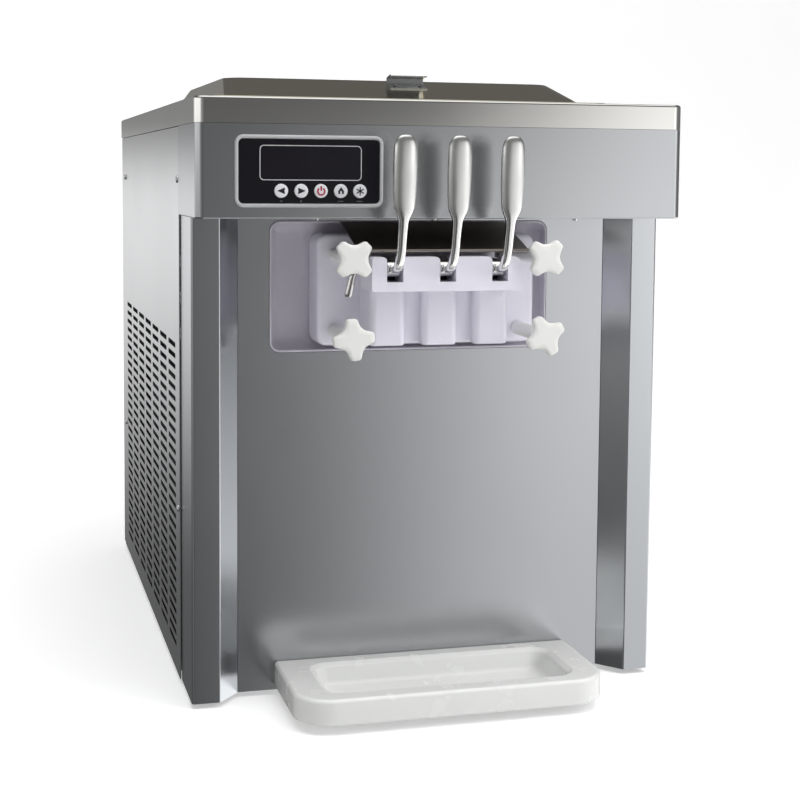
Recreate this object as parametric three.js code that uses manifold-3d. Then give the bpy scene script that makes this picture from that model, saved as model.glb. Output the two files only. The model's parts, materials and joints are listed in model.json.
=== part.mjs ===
// Countertop soft-serve ice cream maker, in millimetres, +Z up, front towards -Y.
// Heights are measured from the table. Depths are measured from the face of the head (y = 0),
// and the whole group is moved at the end so that its box is centred on the origin.

import * as THREE from 'three';
import { mergeVertices } from 'three/addons/utils/BufferGeometryUtils.js';
import { ConvexGeometry } from 'three/addons/geometries/ConvexGeometry.js';
import Module from 'manifold-3d';

const wasm = await Module();
wasm.setup();

// ---------------------------------------------------------------- driving dimensions
const GAP = 0.3; // clearance between pieces that touch
const SHEET = 1.5; // folded stainless sheet
const CUT = 4; // how far a cutter runs past the face it cuts

const BODY_BOTTOM = 6;
const HEAD_BOTTOM = 533.6;
const HEAD_TOP = 631.4;
const COVER_TOP = 659;
const PANEL_Y = 85.5; // face of the front panel, behind the face of the head
const SIDE_FRONT_Y = 144; // front edge of the side panels
const SIDE_REAR_Y = 815.7;
const REAR_Y = 836;
const PANEL_HALF = 212.4;
const PILLAR_HALF = 267;
const SIDE_HALF = 268.8;
const FASCIA_HALF = 269.7;
const COVER_HALF = 270.5;

const BLOCK_X = -4; // middle of the discharge block
const LANE = 58; // spacing of the three handles
const LANES = [
  ['left', BLOCK_X - LANE],
  ['middle', BLOCK_X],
  ['right', BLOCK_X + LANE],
];
const SIDES = [
  ['left', -1],
  ['right', 1],
];
const PIVOT_Y = -2;
const PIVOT_Z = 481;
const ROD_R = 3;
const LEVER = 22; // pivot to lever tip
const PLUNGER_Y = PIVOT_Y + 34;
const PLUNGER_R = 14;
const KNOB_X = 105.5; // from the middle of the block
const KNOB_Z = [
  ['upper', 492.5],
  ['lower', 409],
];
const CYLINDER_Z = 452;
const CYLINDER_Y = 116.5;
const CYLINDER_LENGTH = 284;
const HOPPER_X = 110;

// ---------------------------------------------------------------- materials
const steel = (color, roughness = 0.35) => () =>
  new THREE.MeshStandardMaterial({ color, roughness, metalness: 1 });
const plastic = (color, roughness = 0.4) => () =>
  new THREE.MeshStandardMaterial({ color, roughness, metalness: 0 });

const BRUSHED = steel(0xb4b7ba);
const POLISHED = steel(0xd8dadc, 0.12);
const WHITE = plastic(0xeeeef2);
const TRAY_WHITE = plastic(0xe4e5e3, 0.25);
const BLACK_GLASS = plastic(0x17151a, 0.08);
const BEZEL_GREY = plastic(0xa8a8a8, 0.35);
const BUTTON_WHITE = plastic(0xd6d6d8);
const RUBBER = plastic(0x1c1c1e, 0.8);
const DARK = plastic(0x26272a, 0.6);
const ALUMINIUM = steel(0xa9adb0, 0.45);

// ---------------------------------------------------------------- solids and placing
/** A closed manifold solid from any closed three.js geometry. */
function solid(geometry) {
  const bare = geometry.clone();
  bare.deleteAttribute('normal');
  bare.deleteAttribute('uv');
  const merged = mergeVertices(bare, 1e-4);
  return new wasm.Manifold(
    new wasm.Mesh({
      numProp: 3,
      vertProperties: new Float32Array(merged.attributes.position.array),
      triVerts: new Uint32Array(merged.index.array),
    }),
  );
}

/** Joins several geometries or solids into one solid. */
function join(...pieces) {
  return pieces.map(asSolid).reduce((whole, piece) => whole.add(piece));
}

/** Cuts every cutter out of a body. */
function cut(body, cutters) {
  return cutters.map(asSolid).reduce((rest, cutter) => rest.subtract(cutter), asSolid(body));
}

/** Turns a geometry into a solid, and leaves a solid as it is. */
function asSolid(piece) {
  return piece instanceof THREE.BufferGeometry ? solid(piece) : piece;
}

const model = new THREE.Group();

/** Adds one named sub-part to the model. */
function part(name, body, material, position = [0, 0, 0]) {
  const mesh = asSolid(body).getMesh();
  const geometry = new THREE.BufferGeometry();
  geometry.setAttribute('position', new THREE.BufferAttribute(mesh.vertProperties, 3));
  geometry.setIndex(new THREE.BufferAttribute(mesh.triVerts, 1));
  geometry.computeVertexNormals();
  const node = new THREE.Mesh(geometry, material());
  node.name = name;
  node.position.set(...position);
  model.add(node);
}

/** A box between two corners. */
function box(x0, x1, y0, y1, z0, z1) {
  const geometry = new THREE.BoxGeometry(x1 - x0, y1 - y0, z1 - z0);
  return geometry.translate((x0 + x1) / 2, (y0 + y1) / 2, (z0 + z1) / 2);
}

/** An outline with one radius per corner, listed from the low corner anticlockwise. */
function roundedOutline(u0, u1, v0, v1, radii) {
  const [a, b, c, d] = Array.isArray(radii) ? radii : [radii, radii, radii, radii];
  const outline = new THREE.Shape();
  outline.moveTo(u0 + a, v0);
  outline.lineTo(u1 - b, v0);
  outline.absarc(u1 - b, v0 + b, b, -Math.PI / 2, 0);
  outline.lineTo(u1, v1 - c);
  outline.absarc(u1 - c, v1 - c, c, 0, Math.PI / 2);
  outline.lineTo(u0 + d, v1);
  outline.absarc(u0 + d, v1 - d, d, Math.PI / 2, Math.PI);
  outline.lineTo(u0, v0 + a);
  outline.absarc(u0 + a, v0 + a, a, Math.PI, 1.5 * Math.PI);
  return outline;
}

/** An outline through straight points. */
function straightOutline(points) {
  return new THREE.Shape(points.map(([u, v]) => new THREE.Vector2(u, v)));
}

const CORNER_STEPS = 3;

/** Extrudes an (x, y) outline upwards from z0 to z1. */
function standing(outline, z0, z1, steps = CORNER_STEPS) {
  const options = { depth: z1 - z0, bevelEnabled: false, curveSegments: steps };
  return new THREE.ExtrudeGeometry(outline, options).translate(0, 0, z0);
}

/** Extrudes an (x, z) outline backwards from y0 to y1. */
function facing(outline, y0, y1, steps = CORNER_STEPS) {
  const options = { depth: y1 - y0, bevelEnabled: false, curveSegments: steps };
  return new THREE.ExtrudeGeometry(outline, options).rotateX(Math.PI / 2).translate(0, y1, 0);
}

/** Extrudes a (y, z) outline sideways from x0 to x1. */
function sideways(outline, x0, x1, steps = CORNER_STEPS) {
  const options = { depth: x1 - x0, bevelEnabled: false, curveSegments: steps };
  const turn = new THREE.Matrix4().makeBasis(
    new THREE.Vector3(0, 1, 0),
    new THREE.Vector3(0, 0, 1),
    new THREE.Vector3(1, 0, 0),
  );
  return new THREE.ExtrudeGeometry(outline, options).applyMatrix4(turn).translate(x0, 0, 0);
}

/** A turned solid about Z from (radius, height) points that start and end on the axis. */
function turned(points, segments = 18) {
  const profile = points.map(([r, z]) => new THREE.Vector2(r, z));
  return new THREE.LatheGeometry(profile, segments).rotateX(Math.PI / 2);
}

/** A round bar along X, Y or Z, from one end to the other. */
function bar(axis, radius, from, to, [u, v], segments = 16) {
  const bare = turned([[0, from], [radius, from], [radius, to], [0, to]], segments);
  if (axis === 'x') {
    return bare.rotateY(Math.PI / 2).translate(0, u, v);
  }
  if (axis === 'y') {
    return bare.rotateX(-Math.PI / 2).translate(u, 0, v);
  }
  return bare.translate(u, v, 0);
}

/** A rounded tray open at the top: outer outline less an inner one above a floor. */
function openTray(outer, inner, z0, z1, floor) {
  return cut(standing(outer, z0, z1), [standing(inner, z0 + floor, z1 + CUT)]);
}

// ---------------------------------------------------------------- body: base, feet, panels
function makeBase() {
  const wall = 2;
  const [halfX, y0, y1] = [264, 88.5, 813];
  const outer = roundedOutline(-halfX, halfX, y0, y1, 3);
  const inner = roundedOutline(-halfX + wall, halfX - wall, y0 + wall, y1 - wall, 1);
  part('base_pan', openTray(outer, inner, BODY_BOTTOM, BODY_BOTTOM + 28, wall), ALUMINIUM);
}

function makeFeet() {
  const footTop = BODY_BOTTOM - GAP;
  const foot = turned([[0, 0], [20, 0], [18, footTop], [0, footTop]]);
  const rows = [
    ['front', 140],
    ['rear', 765],
  ];
  for (const [row, y] of rows) {
    for (const [side, sign] of SIDES) {
      part(`foot_${row}_${side}`, foot, RUBBER, [sign * 220, y, 0]);
    }
  }
}

const DISH = { x0: -178, x1: 144, z0: 384, z1: 529.4, corner: 12 };

function makeFrontPanel() {
  const sheet = box(-PANEL_HALF, PANEL_HALF, PANEL_Y, PANEL_Y + SHEET, BODY_BOTTOM, HEAD_BOTTOM - GAP);
  const mouth = roundedOutline(DISH.x0, DISH.x1, DISH.z0, DISH.z1, DISH.corner);
  part('front_panel', cut(sheet, [facing(mouth, PANEL_Y - CUT, PANEL_Y + CUT)]), BRUSHED);
}

function makePillars() {
  const frontY = 57;
  const foldX = 236;
  const returnX = PANEL_HALF + 0.4;
  for (const [side, sign] of SIDES) {
    const plan = [
      [PILLAR_HALF, SIDE_FRONT_Y - GAP],
      [PILLAR_HALF, frontY],
      [foldX, frontY],
      [returnX, PANEL_Y - GAP],
      [returnX, PANEL_Y + 2.5],
      [returnX + SHEET, PANEL_Y + 2.5],
      [returnX + SHEET, PANEL_Y + 0.3],
      [foldX + 0.7, frontY + SHEET],
      [PILLAR_HALF - SHEET, frontY + SHEET],
      [PILLAR_HALF - SHEET, SIDE_FRONT_Y - GAP],
    ].map(([x, y]) => [sign * x, y]);
    const outline = straightOutline(plan);
    part(`pillar_${side}`, standing(outline, BODY_BOTTOM, HEAD_BOTTOM - GAP), BRUSHED);
  }
}

const SCREWS = [
  ['front_upper', 150, 573],
  ['rear_upper', 778, 573],
  ['front_lower', 144 + 7, 202],
  ['rear_lower', 781, 202],
];
const SCREW_HOLE_R = 2.2;
const SCREW_STEPS = 8;
const GRILLE = { columns: 7, rows: 8, y0: 180, z0: 40, pitchY: 86, pitchZ: 44.4, long: 67, high: 32 };

function sidePanelCutters(x0, x1) {
  const cutters = [];
  for (let column = 0; column < GRILLE.columns; column += 1) {
    for (let row = 0; row < GRILLE.rows; row += 1) {
      const y = GRILLE.y0 + column * GRILLE.pitchY;
      const z = GRILLE.z0 + row * GRILLE.pitchZ;
      cutters.push(box(x0 - CUT, x1 + CUT, y, y + GRILLE.long, z, z + GRILLE.high));
    }
  }
  for (const [, y, z] of SCREWS) {
    cutters.push(bar('x', SCREW_HOLE_R, x0 - CUT, x1 + CUT, [y, z], SCREW_STEPS));
  }
  return cutters;
}

function makeSidePanels() {
  const sheet = 1.2;
  for (const [side, sign] of SIDES) {
    const [x0, x1] = sign > 0 ? [SIDE_HALF - sheet, SIDE_HALF] : [-SIDE_HALF, sheet - SIDE_HALF];
    const panel = box(x0, x1, SIDE_FRONT_Y, SIDE_REAR_Y, BODY_BOTTOM, HEAD_TOP);
    part(`side_panel_${side}`, cut(panel, sidePanelCutters(x0, x1)), BRUSHED);
  }
}

function makeSideScrews() {
  const screw = turned(
    [[0, -9], [1.8, -9], [1.8, 0], [4.2, 0], [4, 1], [2.6, 2], [0, 2.2]],
    SCREW_STEPS,
  );
  for (const [side, sign] of SIDES) {
    for (const [place, y, z] of SCREWS) {
      const outward = screw.clone().rotateY((sign * Math.PI) / 2);
      part(`screw_${side}_${place}`, outward, POLISHED, [sign * (SIDE_HALF + GAP), y, z]);
    }
  }
}

const INLET = { x: 175, z: 75, wide: 46, high: 26 };

function makeRearPanel() {
  const half = SIDE_HALF - 0.3;
  const shell = cut(box(-half, half, SIDE_REAR_Y + GAP, REAR_Y, BODY_BOTTOM, HEAD_TOP), [
    box(-half + SHEET, half - SHEET, SIDE_REAR_Y - CUT, REAR_Y - SHEET, 8, HEAD_TOP - 2),
  ]);
  const louvre = { columns: [-190, -60, 70], wide: 110, rows: 6, z0: 150, pitch: 56, high: 30 };
  const cutters = [
    box(
      INLET.x - INLET.wide / 2 - GAP,
      INLET.x + INLET.wide / 2 + GAP,
      REAR_Y - CUT,
      REAR_Y + CUT,
      INLET.z - INLET.high / 2 - GAP,
      INLET.z + INLET.high / 2 + GAP,
    ),
  ];
  for (const x of louvre.columns) {
    for (let row = 0; row < louvre.rows; row += 1) {
      const z = louvre.z0 + row * louvre.pitch;
      cutters.push(box(x, x + louvre.wide, REAR_Y - CUT, REAR_Y + CUT, z, z + louvre.high));
    }
  }
  part('rear_panel', cut(shell, cutters), BRUSHED);
}

function makePowerInlet() {
  const { x, z, wide, high } = INLET;
  const flange = box(x - 28, x + 28, REAR_Y + GAP, REAR_Y + 2.3, z - 18, z + 18);
  const body = box(x - wide / 2, x + wide / 2, REAR_Y - 18, REAR_Y + 1, z - high / 2, z + high / 2);
  const socket = box(x - 18, x + 18, REAR_Y - 14, REAR_Y + CUT, z - 9, z + 9);
  part('power_inlet', cut(join(flange, body), [socket]), DARK);
}

// ---------------------------------------------------------------- head: fascia, cover, controls
const CONTROL = { x0: -229.6, x1: -72.3, z0: 545.3, z1: 620, corner: 9, rim: 4 };

function makeFascia() {
  const corner = 8.5;
  const rear = SIDE_FRONT_Y - GAP;
  const outer = roundedOutline(-FASCIA_HALF, FASCIA_HALF, 0, rear, [corner, corner, 0.5, 0.5]);
  const innerHalf = FASCIA_HALF - SHEET;
  const inner = roundedOutline(-innerHalf, innerHalf, SHEET, rear + CUT, [7, 7, 0.5, 0.5]);
  const window = box(
    CONTROL.x0 + 9,
    CONTROL.x1 - 9,
    -CUT,
    CUT,
    CONTROL.z0 + 8,
    CONTROL.z1 - 8,
  );
  const shell = cut(standing(outer, HEAD_BOTTOM, HEAD_TOP), [
    standing(inner, HEAD_BOTTOM + SHEET, HEAD_TOP + CUT),
    window,
  ]);
  part('head_fascia', shell, BRUSHED);
}

const HOPPER = { half: 96, y0: 190, y1: 520, bottom: 520, corner: 22, flange: 8 };

function hopperOutline(x, margin) {
  return roundedOutline(
    x - HOPPER.half - margin,
    x + HOPPER.half + margin,
    HOPPER.y0 - margin,
    HOPPER.y1 + margin,
    HOPPER.corner + margin,
  );
}

function makeTopCover() {
  const front = -0.8;
  const rear = REAR_Y + 0.5;
  const bottom = HEAD_TOP + GAP;
  const outer = roundedOutline(-COVER_HALF, COVER_HALF, front, rear, 11.5);
  const inner = roundedOutline(
    -COVER_HALF + SHEET,
    COVER_HALF - SHEET,
    front + SHEET,
    rear - SHEET,
    10,
  );
  const openings = SIDES.map(([, sign]) =>
    standing(hopperOutline(sign * HOPPER_X, GAP), bottom - CUT, COVER_TOP + CUT),
  );
  const shell = cut(standing(outer, bottom, COVER_TOP), [
    standing(inner, bottom - CUT, COVER_TOP - SHEET),
    ...openings,
  ]);
  part('top_cover', shell, BRUSHED);
}

const FEED_TUBE = { r: 8, bore: 5, y: 240 };

function makeHoppers() {
  for (const [side, sign] of SIDES) {
    const x = sign * HOPPER_X;
    const rim = COVER_TOP + GAP;
    const tub = join(
      standing(hopperOutline(x, 0), HOPPER.bottom, rim + SHEET),
      standing(hopperOutline(x, HOPPER.flange), rim, rim + SHEET),
    );
    const outlet = [sign * LANE + BLOCK_X, FEED_TUBE.y];
    const hollow = standing(hopperOutline(x, -SHEET), HOPPER.bottom + SHEET, COVER_TOP + CUT);
    const drain = bar('z', FEED_TUBE.r + GAP, HOPPER.bottom - CUT, HOPPER.bottom + CUT, outlet, 12);
    part(`hopper_${side}`, cut(tub, [hollow, drain]), POLISHED);
  }
}

function makeFeedTubes() {
  const [bottom, top] = [CYLINDER_Z + 50.5, 590];
  const { r, bore } = FEED_TUBE;
  const wall = turned([[bore, bottom], [r, bottom], [r, top], [bore, top], [bore, bottom]], 12);
  for (const [side, sign] of SIDES) {
    part(`feed_tube_${side}`, wall, POLISHED, [sign * LANE + BLOCK_X, FEED_TUBE.y, 0]);
  }
}

const LID = {
  half: 240,
  y0: 130,
  y1: 665,
  bottom: COVER_TOP + 3,
  skirt: 4,
  flange: 26,
  crown: 692,
  crownHalf: 202,
  crownY0: 235,
  crownY1: 565,
};

/** The hipped raised part of the lid, shrunk by a wall thickness for its inside. */
function lidHip(wall) {
  const base = LID.bottom - CUT;
  const foot = LID.bottom + LID.skirt - wall;
  const points = [];
  const ring = (half, y0, y1, z) => {
    for (const x of [-half, half]) {
      points.push(new THREE.Vector3(x, y0, z), new THREE.Vector3(x, y1, z));
    }
  };
  const foothold = LID.flange + wall;
  ring(LID.half - foothold, LID.y0 + foothold, LID.y1 - foothold, wall > 0 ? base : foot - 1);
  ring(LID.half - foothold, LID.y0 + foothold, LID.y1 - foothold, foot);
  ring(LID.crownHalf - wall, LID.crownY0 + wall, LID.crownY1 - wall, LID.crown - wall);
  return new ConvexGeometry(points);
}

function makeLid() {
  const wall = 1.2;
  const outer = roundedOutline(-LID.half, LID.half, LID.y0, LID.y1, 22);
  const inner = roundedOutline(
    -LID.half + wall,
    LID.half - wall,
    LID.y0 + wall,
    LID.y1 - wall,
    21,
  );
  const skirtTop = LID.bottom + LID.skirt;
  const lid = cut(join(standing(outer, LID.bottom, skirtTop), lidHip(0)), [
    standing(inner, LID.bottom - CUT, skirtTop - wall),
    lidHip(wall),
  ]);
  part('hopper_lid', lid, POLISHED);
}

/** Folded clip: a foot on the front slope, a riser and a ledge that rises towards the front. */
function makeLidHandle() {
  const footY = LID.y0 + LID.flange;
  const footZ = LID.bottom + LID.skirt;
  const steepness = (LID.crown - footZ) / (LID.crownY0 - footY);
  const above = (y, lift) => [y, footZ + (y - footY) * steepness + lift];
  const strip = [
    above(199, GAP),
    above(219.5, GAP),
    [219.5, 694.4],
    [204.2, 698.5],
    [202.7, 696.9],
    [204.6, 696.9],
    [218, 693.3],
    above(218, GAP + 1.5),
    above(199, GAP + 1.5),
  ];
  part('lid_handle', sideways(straightOutline(strip), -12, 33), POLISHED);
}

const BUTTONS = [
  ['back', -181.4],
  ['forward', -160.4],
  ['power', -139.5],
  ['mix', -118.4],
  ['chill', -97.9],
];
const BUTTON = { z: 562.5, r: 7.2 };

function makeControls() {
  const { x0, x1, z0, z1, corner, rim } = CONTROL;
  const outer = roundedOutline(x0, x1, z0, z1, corner);
  const inner = roundedOutline(x0 + rim, x1 - rim, z0 + rim, z1 - rim, corner - rim);
  const ring = cut(facing(outer, -2.6, -GAP), [facing(inner, -CUT, CUT)]);
  part('control_bezel', ring, BEZEL_GREY);

  const edge = rim + GAP;
  const pane = roundedOutline(x0 + edge, x1 - edge, z0 + edge, z1 - edge, corner - edge);
  const holes = BUTTONS.map(([, x]) => bar('y', BUTTON.r + GAP, -CUT, CUT, [x, BUTTON.z], 12));
  part('control_glass', cut(facing(pane, -2, -GAP), holes), BLACK_GLASS);

  const cap = turned([
    [0, -3],
    [BUTTON.r, -3],
    [BUTTON.r, 3.4],
    [BUTTON.r - 0.6, 4],
    [0, 4.4],
  ], 12).rotateX(Math.PI / 2);
  for (const [name, x] of BUTTONS) {
    part(`button_${name}`, cap, BUTTON_WHITE, [x, 0, BUTTON.z]);
  }
}

// ---------------------------------------------------------------- dispensing group
const DISH_FLOOR_Y = 110;

function makeDish() {
  const { x0, x1, z0, z1, corner } = DISH;
  const wall = 2.5;
  const lip = 6;
  const behind = PANEL_Y + SHEET + GAP;
  const back = DISH_FLOOR_Y + wall;
  const bodyOutline = roundedOutline(x0 + GAP, x1 - GAP, z0 + GAP, z1 - GAP, corner);
  const lipOutline = roundedOutline(x0 - lip, x1 + lip, z0 - lip, z1 + wall, corner + 2);
  const pocketOutline = roundedOutline(x0 + wall, x1 - wall, z0 + wall, z1 - wall, corner - 2);
  const cutters = [facing(pocketOutline, PANEL_Y - CUT, DISH_FLOOR_Y)];
  for (const [, sign] of SIDES) {
    cutters.push(bar('y', 44, 100, 130, [sign * LANE + BLOCK_X, CYLINDER_Z], 16));
    for (const [, z] of KNOB_Z) {
      cutters.push(bar('y', 4.6, 100, 130, [sign * KNOB_X + BLOCK_X, z], 8));
    }
  }
  const body = join(facing(bodyOutline, PANEL_Y - 1, back), facing(lipOutline, behind, behind + wall));
  part('front_surround', cut(body, cutters), WHITE);
}

const BLOCK = {
  bottom: 397,
  bodyHalf: 77,
  bodyFront: 26,
  flangeHalf: 125,
  flangeFront: 64,
  crossbarHalf: 83,
  crossbarFront: -14.5,
  crossbarZ: [457.4, 493.8],
  top: 489,
};
const PILASTER = { half: 19.2, front: 13, rear: 44, corner: 9 };
const SLOT = { wide: 17.7, deep: 26.5 };
const BORE_FLOOR = 402;
const PORT_Z = CYLINDER_Z - 22; // height of the ways from the cylinders to the plungers

/** The ways that the mix takes from both cylinders to the three plungers. */
function blockPorts(back) {
  const ports = [bar('y', 5, PLUNGER_Y, 48, [BLOCK_X, PORT_Z], 8)];
  for (const [, sign] of SIDES) {
    const x = sign * LANE + BLOCK_X;
    ports.push(bar('y', 43, back - 14, back + CUT, [x, CYLINDER_Z], 16));
    ports.push(bar('y', 7, PLUNGER_Y, back, [x, PORT_Z], 8));
    ports.push(box(Math.min(x, BLOCK_X), Math.max(x, BLOCK_X), 46, 58, PORT_Z - 6, PORT_Z + 6));
    for (const [, z] of KNOB_Z) {
      const place = [sign * KNOB_X + BLOCK_X, z];
      ports.push(bar('y', 4.6, BLOCK.flangeFront - CUT, back + CUT, place, 8));
    }
  }
  return ports;
}

/** The slot for a handle, the bore for its plunger and the outlet under it. */
function laneCutters(x) {
  const top = BLOCK.crossbarZ[1];
  const half = SLOT.wide / 2;
  const front = BLOCK.crossbarFront - CUT;
  return [
    bar('z', PLUNGER_R + GAP, BORE_FLOOR, top + CUT, [x, PLUNGER_Y], 18),
    bar('z', 7, BLOCK.bottom - CUT, BORE_FLOOR + 1, [x, PLUNGER_Y], 8),
    box(x - half, x + half, front, PLUNGER_Y, top - SLOT.deep, top + CUT),
  ];
}

function makeDischargeBlock() {
  const back = DISH_FLOOR_Y - GAP;
  const [barLow, barTop] = BLOCK.crossbarZ;
  const [left, right] = [BLOCK_X - BLOCK.crossbarHalf, BLOCK_X + BLOCK.crossbarHalf];
  const flange = roundedOutline(
    BLOCK_X - BLOCK.flangeHalf,
    BLOCK_X + BLOCK.flangeHalf,
    393,
    515,
    10,
  );
  const crossbar = roundedOutline(left, right, barLow, barTop, [2, 2, 8, 3]);
  let body = join(
    facing(flange, BLOCK.flangeFront, back),
    box(
      BLOCK_X - BLOCK.bodyHalf,
      BLOCK_X + BLOCK.bodyHalf,
      BLOCK.bodyFront,
      BLOCK.flangeFront + CUT,
      BLOCK.bottom + 1,
      BLOCK.top,
    ),
    facing(crossbar, BLOCK.crossbarFront, BLOCK.bodyFront + CUT),
  );
  const cutters = [
    bar('x', ROD_R + GAP, left - CUT, right + CUT, [PIVOT_Y, PIVOT_Z], 12),
    ...blockPorts(back),
  ];
  for (const [, x] of LANES) {
    const { half, front, rear, corner } = PILASTER;
    const pilaster = roundedOutline(x - half, x + half, front, rear, corner);
    body = body.add(solid(standing(pilaster, BLOCK.bottom, barLow + 2)));
    cutters.push(...laneCutters(x));
  }
  part('discharge_block', cut(body, cutters), WHITE);
}

function makePivotRod() {
  const start = BLOCK_X - BLOCK.crossbarHalf - 8;
  const end = BLOCK_X + BLOCK.crossbarHalf + 3;
  const straight = bar('x', ROD_R, start - 0.5, end, [PIVOT_Y, PIVOT_Z], 12);
  const path = new THREE.CatmullRomCurve3([
    new THREE.Vector3(start, PIVOT_Y, PIVOT_Z),
    new THREE.Vector3(start - 6, PIVOT_Y + 0.3, PIVOT_Z - 2),
    new THREE.Vector3(start - 10, PIVOT_Y + 1, PIVOT_Z - 8),
    new THREE.Vector3(start - 14, PIVOT_Y + 3, PIVOT_Z - 29),
  ]);
  const section = new THREE.Shape();
  section.absarc(0, 0, ROD_R, 0, 2 * Math.PI);
  const options = { steps: 8, bevelEnabled: false, curveSegments: 6, extrudePath: path };
  part('pivot_rod', join(straight, new THREE.ExtrudeGeometry(section, options)), POLISHED);
}

/** Paddle, neck, stem, hub and lever tip, drawn about the pivot and then placed. */
function handleSolid() {
  const paddle = new THREE.Shape();
  paddle.moveTo(-5, 50);
  paddle.bezierCurveTo(-7, 66, -13, 82, -13, 103);
  paddle.bezierCurveTo(-13, 124, -11, 140, 0, 140);
  paddle.bezierCurveTo(11, 140, 13, 124, 13, 103);
  paddle.bezierCurveTo(13, 82, 7, 66, 5, 50);
  const options = {
    depth: 5,
    curveSegments: 3,
    bevelEnabled: true,
    bevelThickness: 3.6,
    bevelSize: 3,
    bevelOffset: -3,
    bevelSegments: 1,
  };
  const blade = new THREE.ExtrudeGeometry(paddle, options);
  blade.rotateX(Math.PI / 2).translate(0, 2.5, 0).rotateX(0.06).translate(0, -43, 0);
  const path = new THREE.CatmullRomCurve3([
    new THREE.Vector3(0, 0, 0),
    new THREE.Vector3(0, -20, 1.5),
    new THREE.Vector3(0, -34, 15),
    new THREE.Vector3(0, -40, 36),
    new THREE.Vector3(0, -45.5, 62),
  ]);
  const section = new THREE.Shape();
  section.absellipse(0, 0, 5, 4.5, 0, 2 * Math.PI);
  const stemOptions = { steps: 6, bevelEnabled: false, curveSegments: 8, extrudePath: path };
  const stem = new THREE.ExtrudeGeometry(section, stemOptions);
  const hub = bar('x', 8.5, -7.2, 7.2, [0, 0], 14);
  const lever = box(-3, 3, 0, LEVER, -2.6, 2.6);
  const tip = bar('x', 3.2, -3, 3, [LEVER, 0], 8);
  return cut(join(blade, stem, hub, lever, tip), [bar('x', ROD_R + GAP, -20, 20, [0, 0], 12)]);
}

function makeHandles() {
  const handle = handleSolid();
  for (const [lane, x] of LANES) {
    part(`handle_${lane}`, handle, POLISHED, [x, PIVOT_Y, PIVOT_Z]);
  }
}

/** A plunger with a waist that the lever tip sits in and two seal grooves. */
function makePlungers() {
  const core = 5;
  const [low, high] = [PIVOT_Z - 4.8, PIVOT_Z + 4.8];
  const r = PLUNGER_R;
  const plunger = turned([
    [0, 402.5],
    [r, 402.5],
    [r, 410],
    [r - 2, 410],
    [r - 2, 414],
    [r, 414],
    [r, low],
    [core, low],
    [core, high],
    [r - 1, high],
    [r - 1, high + 1.8],
    [0, high + 1.8],
  ], 16);
  for (const [lane, x] of LANES) {
    part(`plunger_${lane}`, plunger, DARK, [x, PLUNGER_Y, 0]);
  }
}

const SHIELD = { half: 95, y0: -1, z0: 498.6, y1: 83.8, z1: 527 };

function makeSplashShield() {
  const { half, y0, z0, y1, z1 } = SHIELD;
  const sheet = 1.1;
  const profile = [
    [y0, z0],
    [y1, z1],
    [y1, z1 + sheet],
    [y0, z0 + sheet],
  ];
  const plate = sideways(straightOutline(profile), BLOCK_X - half, BLOCK_X + half);
  const lip = bar('x', 1.6, BLOCK_X - half, BLOCK_X + half, [y0, z0 + 0.6], 10);
  const tabs = [-1, 1].map((sign) => {
    const x = BLOCK_X + sign * 77;
    return box(x - 2, x + 2, 36, 56, BLOCK.top + GAP, z0 + 13);
  });
  part('splash_shield', join(plate, lip, ...tabs), POLISHED);
}

/** Four-lobed star: round tips joined by concave waists. */
function starOutline(tip, waist) {
  const outline = new THREE.Shape();
  const lobe = 6.4;
  const centre = tip - lobe;
  const steps = 4;
  for (let arm = 0; arm < 4; arm += 1) {
    const middle = (arm * Math.PI) / 2;
    for (let step = 0; step <= steps; step += 1) {
      const angle = middle + ((step / steps) * 2 - 1) * 1.25;
      const u = centre * Math.cos(middle) + lobe * Math.cos(angle);
      const v = centre * Math.sin(middle) + lobe * Math.sin(angle);
      if (arm === 0 && step === 0) {
        outline.moveTo(u, v);
      } else {
        outline.lineTo(u, v);
      }
    }
    const valley = middle + Math.PI / 4;
    outline.lineTo(waist * Math.cos(valley), waist * Math.sin(valley));
  }
  return outline;
}

const KNOB_TURN = { upper_left: 45, upper_right: 48, lower_left: 7, lower_right: 28 };

function makeKnobs() {
  const options = {
    depth: 6,
    bevelEnabled: true,
    bevelThickness: 2,
    bevelSize: 2,
    bevelOffset: -2,
    bevelSegments: 1,
    curveSegments: 4,
  };
  const shankEnd = BLOCK.flangeFront - GAP;
  for (const [row, z] of KNOB_Z) {
    for (const [side, sign] of SIDES) {
      const name = `${row}_${side}`;
      const star = new THREE.ExtrudeGeometry(starOutline(22, 13.5), options);
      star.rotateZ(THREE.MathUtils.degToRad(KNOB_TURN[name])).rotateX(Math.PI / 2);
      star.translate(0, -24, 0);
      const shank = bar('y', 7.5, -26, shankEnd, [0, 0], 14);
      const stud = bar('y', 4, shankEnd - 1, CYLINDER_Y - 1, [0, 0], 8);
      part(`knob_${name}`, join(star, shank, stud), WHITE, [sign * KNOB_X + BLOCK_X, 0, z]);
    }
  }
}

// ---------------------------------------------------------------- drip tray
const TRAY = { half: 172, y0: -60, z0: 11, z1: 39, basinX0: -138, basinX1: 140, basinY0: -38 };

function makeDripTray() {
  const back = PANEL_Y - GAP;
  const { half, y0, z0, z1 } = TRAY;
  const outer = roundedOutline(-half, half, y0, back, [40, 40, 4, 4]);
  const basin = roundedOutline(TRAY.basinX0, TRAY.basinX1, TRAY.basinY0, 64, 22);
  part('drip_tray', openTray(outer, basin, z0, z1, 5), TRAY_WHITE);
}

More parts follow.
